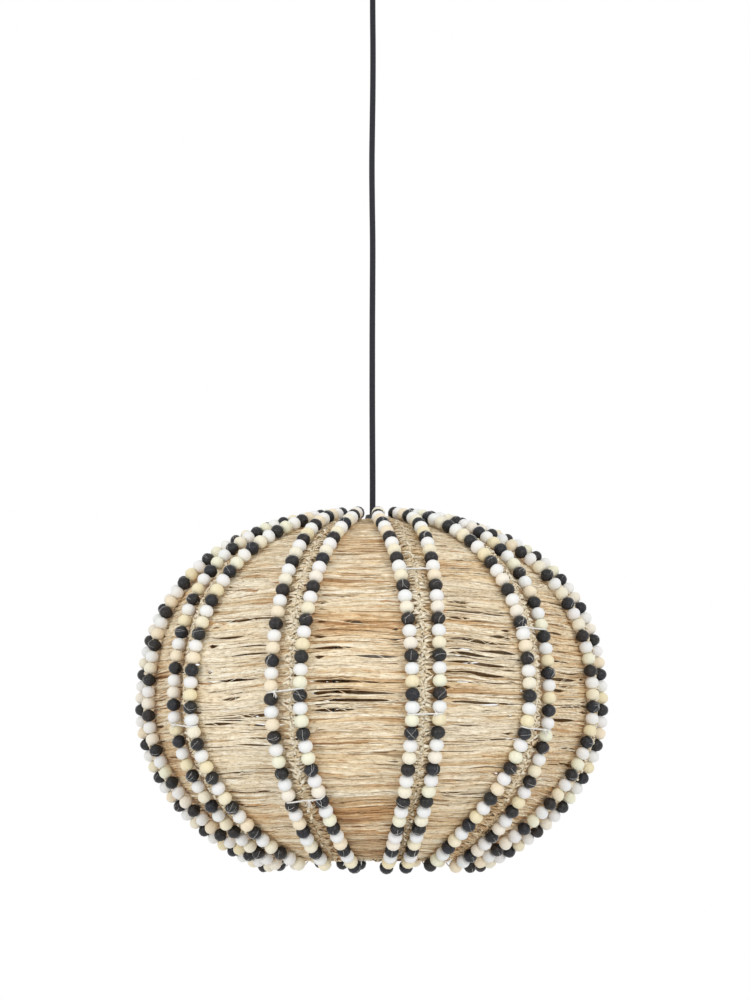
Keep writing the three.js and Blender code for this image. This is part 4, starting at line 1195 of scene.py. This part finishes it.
def bead_material(name, roughness, gloss, low, high, grain, dust_and_glint):
    """Paint or varnish over the colour that each bead carries, with its own grain and fine pale specks,
    which are partly dust and partly painted glints.
    """
    material, tree, shader = new_material(name, (0.5, 0.5, 0.5), roughness)
    shader.inputs["Specular IOR Level"].default_value = gloss
    place = carried(tree, "strand", "Vector")
    fine = noise_texture(tree, scaled_axes(tree, place, (1, 1, 0.25)), grain, 3, 0.6)
    scaled = tree.nodes.new("ShaderNodeVectorMath")
    scaled.operation = "SCALE"
    tree.links.new(carried(tree, "dye", "Color"), scaled.inputs[0])
    tree.links.new(spread(tree, fine, low, high), scaled.inputs["Scale"])
    specks = noise_texture(tree, place, 1500, 4, 0.75)
    mixed = tree.nodes.new("ShaderNodeMix")
    mixed.data_type = "RGBA"
    mixed.inputs["B"].default_value = (0.42, 0.4, 0.36, 1)
    tree.links.new(spread(tree, specks, 0, dust_and_glint, 0.58, 0.7), mixed.inputs["Factor"])
    tree.links.new(scaled.outputs[0], mixed.inputs["A"])
    tree.links.new(mixed.outputs["Result"], shader.inputs["Base Color"])
    add_bump(tree, fine, 0.3, 0.0002)
    return material


bead_materials = [
    # The black beads' pale specks are partly dust and partly painted glints.
    bead_material("bead_black", 0.4, 0.32, 0.4, 1.7, 420, 0.5),
    bead_material("bead_white", 0.55, 0.4, 0.96, 1.0, 300, 0.0),
    bead_material("bead_natural", 0.5, 0.4, 0.92, 1.03, 380, 0.0),
    used_surface("cotton_thread", (0.78, 0.77, 0.73), (0.88, 0.87, 0.84), 0.9, 0.0, 2500, 0.0002),
]
natural_tones = [(0.92, 0.84, 0.63), (0.92, 0.86, 0.69), (0.92, 0.8, 0.6), (0.9, 0.88, 0.69),
                 (0.93, 0.86, 0.74), (0.9, 0.8, 0.54)]
black_tones = [(0.014, 0.014, 0.015), (0.013, 0.014, 0.019), (0.017, 0.014, 0.014)]
white_tones = [(0.9, 0.9, 0.88), (0.9, 0.89, 0.88), (0.89, 0.9, 0.89), (0.91, 0.9, 0.87)]
bead_profile = [(0, -0.0049), (0.0014, -0.0053), (0.0031, -0.00477), (0.0046, -0.0037),
                (0.0057, -0.00215), (0.0062, 0), (0.0057, 0.00215), (0.0046, 0.0037),
                (0.0031, 0.00477), (0.0014, 0.0053), (0, 0.0049)]
bead_mesh = mesh_of("bead", with_layers(turned(bead_profile, 12)))
bead_corners = corners_of(bead_mesh)
thread = strand_mesh(6, 8, 3)
string_beads = {}


def lay_thread(bundle, points, radius, colour=(0.85, 0.84, 0.8)):
    """A round thread along nine points."""
    points = np.array(points)
    onward = np.gradient(points, axis=0)
    onward /= np.linalg.norm(onward, axis=1)[:, None]
    side = np.cross(onward, np.roll(onward[4], 1) + np.array([0.1, 0.2, 0.3]))
    side /= np.linalg.norm(side, axis=1)[:, None]
    lay_strand(bundle, thread, points, side, np.cross(onward, side),
               np.full(len(points), radius), 2 * radius, np.tile(colour, (len(points), 1)))


for rib in range(rib_count):
    for side in (-1, 1):
        string = with_layers(bmesh.new())
        string_beads[rib, side] = list(string_places(rib, side))
        for n, centre, normal, onward, _ in string_beads[rib, side]:
            colour = random.choice((black_tones, white_tones, natural_tones)[n % 3])
            across = np.cross(onward, normal)
            axes = Matrix((normal, across, onward)).transposed()
            spin = axes @ Matrix.Rotation(random.gauss(0, 0.06), 3, "X") @ Matrix.Rotation(
                random.uniform(0, 6.28), 3, "Z")
            places = bead_corners * random.uniform(1.015, 1.04) @ np.array(spin).T + centre
            bead_mesh.vertices.foreach_set("co", places.ravel())
            own = bead_corners + np.array([random.uniform(0, 9), random.uniform(0, 9), 0])
            bead_mesh.attributes["strand"].data.foreach_set("vector", own.ravel())
            bead_mesh.attributes["dye"].data.foreach_set(
                "color", np.tile((*colour, 1), len(bead_corners)))
            bead_mesh.polygons.foreach_set("material_index", [n % 3] * len(bead_mesh.polygons))
            string.from_mesh(bead_mesh)
        points, normals, _, _ = string_line(rib, side)
        ends = [string_beads[rib, side][0], string_beads[rib, side][-1]]
        for (_, centre, normal, onward, _), way in zip(ends, (-1, 1)):
            tips = [centre + onward * way * (0.004 + 0.0007 * i) - normal * 0.00012 * i ** 2
                    for i in range(9)]
            lay_thread(string, tips, thread_radius)
        dark_beads = [bead for bead in string_beads[rib, side] if bead[0] % 3 == 0]
        for n, centre, normal, onward, _ in random.choices(dark_beads, k=fibres_per_string):
            across = np.cross(onward, normal)
            tilt = random.uniform(0, math.pi)
            way = onward * math.cos(tilt) + across * math.sin(tilt)
            arc = np.linspace(random.uniform(-1.7, -0.6), random.uniform(0.4, 1.4), 9)[:, None]
            over = across * math.cos(tilt) - onward * math.sin(tilt)
            lay_thread(string, centre + (bead_radius + 0.0001) * (way * np.sin(arc) + normal * np.cos(arc))
                       + over * 0.0012 * np.sin(arc * random.uniform(1, 3)),
                       random.uniform(0.00005, 0.00011))
        number = 2 * rib + (1 if side < 0 else 2)
        finish_mesh(f"beads_{number:02d}", string, bead_materials, "lamp",
                    [f"bead_string_{number:02d}"])


# Thread ties: here and there a white cotton thread is drawn over a ridge from string to string, and
# knotted, to keep both in place. The cut ends of the knot are frayed.
random.seed(5)
tie_radius = 0.0007
frayed_radius = 0.0003
knot_radius = 0.0013
frayed_ends_per_knot = 6
# By rib: a tie's metres below the belly on the left and the right string, and the knot's place between
tie_levels = {
    0: [(-0.104, -0.115, 0.1), (0.017, 0.017, 0.9)], 11: [(-0.001, -0.001, 0.2), (0.097, 0.086, 0.7)],
    1: [(0.029, 0.029, 0.8), (-0.055, -0.055, 0.1)], 10: [(0.022, 0.022, 0.2)],
    3: [(-0.04, -0.04, 0.6)], 5: [(0.06, 0.06, 0.3)], 7: [(-0.02, -0.02, 0.9)], 8: [(0.09, 0.09, 0.2)],
}
knot_shape = bmesh.new()
bmesh.ops.create_icosphere(knot_shape, subdivisions=2, radius=knot_radius)
knot_mesh = mesh_of("knot", with_layers(knot_shape))
knot_mesh.polygons.foreach_set("material_index", [3] * len(knot_mesh.polygons))
knot_corners = corners_of(knot_mesh)
for rib, levels in tie_levels.items():
    tie = with_layers(bmesh.new())
    for *tie_ends, knot_share in levels:
        gaps = []
        for side, level in zip((-1, 1), tie_ends):
            beads = string_beads[rib, side]
            i = min(range(1, len(beads)),
                    key=lambda j: abs(beads[j][4] + beads[j - 1][4] - 2 * level))
            gaps.append(((beads[i][1] + beads[i - 1][1]) / 2, beads[i][2]))
        (left, left_normal), (right, right_normal) = gaps
        span = right - left
        run = span / np.linalg.norm(span)
        lay_thread(tie, [
            left - run * 0.0045 - left_normal * 0.003, left - run * 0.0035 + left_normal * 0.0005,
            left - run * 0.001 + left_normal * 0.0035, left + span * 0.15 + left_normal * 0.0038,
            left + span * 0.5 + left_normal * 0.0032, left + span * 0.85 + right_normal * 0.0038,
            right + run * 0.001 + right_normal * 0.0035, right + run * 0.0035 + right_normal * 0.0005,
            right + run * 0.0045 - right_normal * 0.003], tie_radius)
        knot = left + span * knot_share + left_normal * 0.0041
        knot_mesh.vertices.foreach_set("co", (knot_corners * (1.3, 0.8, 0.9) + knot).ravel())
        tie.from_mesh(knot_mesh)
        for _ in range(frayed_ends_per_knot):
            way = (run * random.gauss(0, 1) + left_normal * random.uniform(0, 0.5)
                   + up * random.gauss(-0.5, 0.8))
            way /= np.linalg.norm(way)
            reach = random.uniform(0.003, 0.006)
            droop = np.linspace(0, 1, 9)[:, None]
            lay_thread(tie, knot + way * reach * droop - up * 0.0015 * droop ** 2, frayed_radius)
    cotton_only = [bead_materials[3]] * 4
    finish_mesh(f"thread_tie_{rib + 1:02d}", tie, cotton_only, "lamp")


# Room: a pale floor well below the lamp, a white surround, a lamp on the left, a soft one in front and
# one at the back. The floor and the surround look white to the camera and in reflections.
floor_level = -2.6
floor_radius = 5
for word, place, size, energy in (
    ("key", (-1.6, -1.8, -0.5), 0.35, 8.5),
    ("fill", (0.9, -2.1, -0.2), 1.2, 12),
    ("back", (0.4, 2.3, -0.2), 1.5, 12),
):
    lamp_data = bpy.data.lights.new(word, "AREA")
    lamp_data.shape = "DISK"
    lamp_data.size = size
    lamp_data.energy = energy
    lamp = put_in_scene(word, lamp_data)
    lamp.location = place
    lamp.rotation_euler = (Vector((0, 0, belly_level)) - lamp.location).to_track_quat("-Z", "Y").to_euler()

floor_shape = bmesh.new()
bmesh.ops.create_circle(floor_shape, cap_ends=True, segments=96, radius=floor_radius)
bmesh.ops.translate(floor_shape, verts=floor_shape.verts, vec=(0, 0, floor_level))
floor_mesh = mesh_of("floor", floor_shape)
floor = put_in_scene("floor", floor_mesh)


def seen_rays(tree, extra, base):
    """The base value, and extra added where a camera, glossy or transmission ray looks."""
    path = tree.nodes.new("ShaderNodeLightPath")
    seen = maths(tree, "MAXIMUM", path.outputs["Is Camera Ray"],
                 maths(tree, "MAXIMUM", path.outputs["Is Glossy Ray"],
                       path.outputs["Is Transmission Ray"]))
    return maths(tree, "MULTIPLY_ADD", seen, extra, base)


floor_paint, floor_tree, floor_shader = new_material("floor", (0.85, 0.85, 0.85), 0.9)
floor_shader.inputs["Emission Color"].default_value = (1, 1, 1, 1)
floor_tree.links.new(seen_rays(floor_tree, 0.33, 0), floor_shader.inputs["Emission Strength"])
floor_mesh.materials.append(floor_paint)

world = bpy.data.worlds.new("studio")
world.use_nodes = True
bpy.context.scene.world = world
world_tree = world.node_tree
background = world_tree.nodes["Background"]
world_tree.links.new(seen_rays(world_tree, 0.2, 0.8), background.inputs["Strength"])
background.inputs["Color"].default_value = (1, 1, 1, 1)

bpy.context.scene.view_settings.view_transform = "Standard"
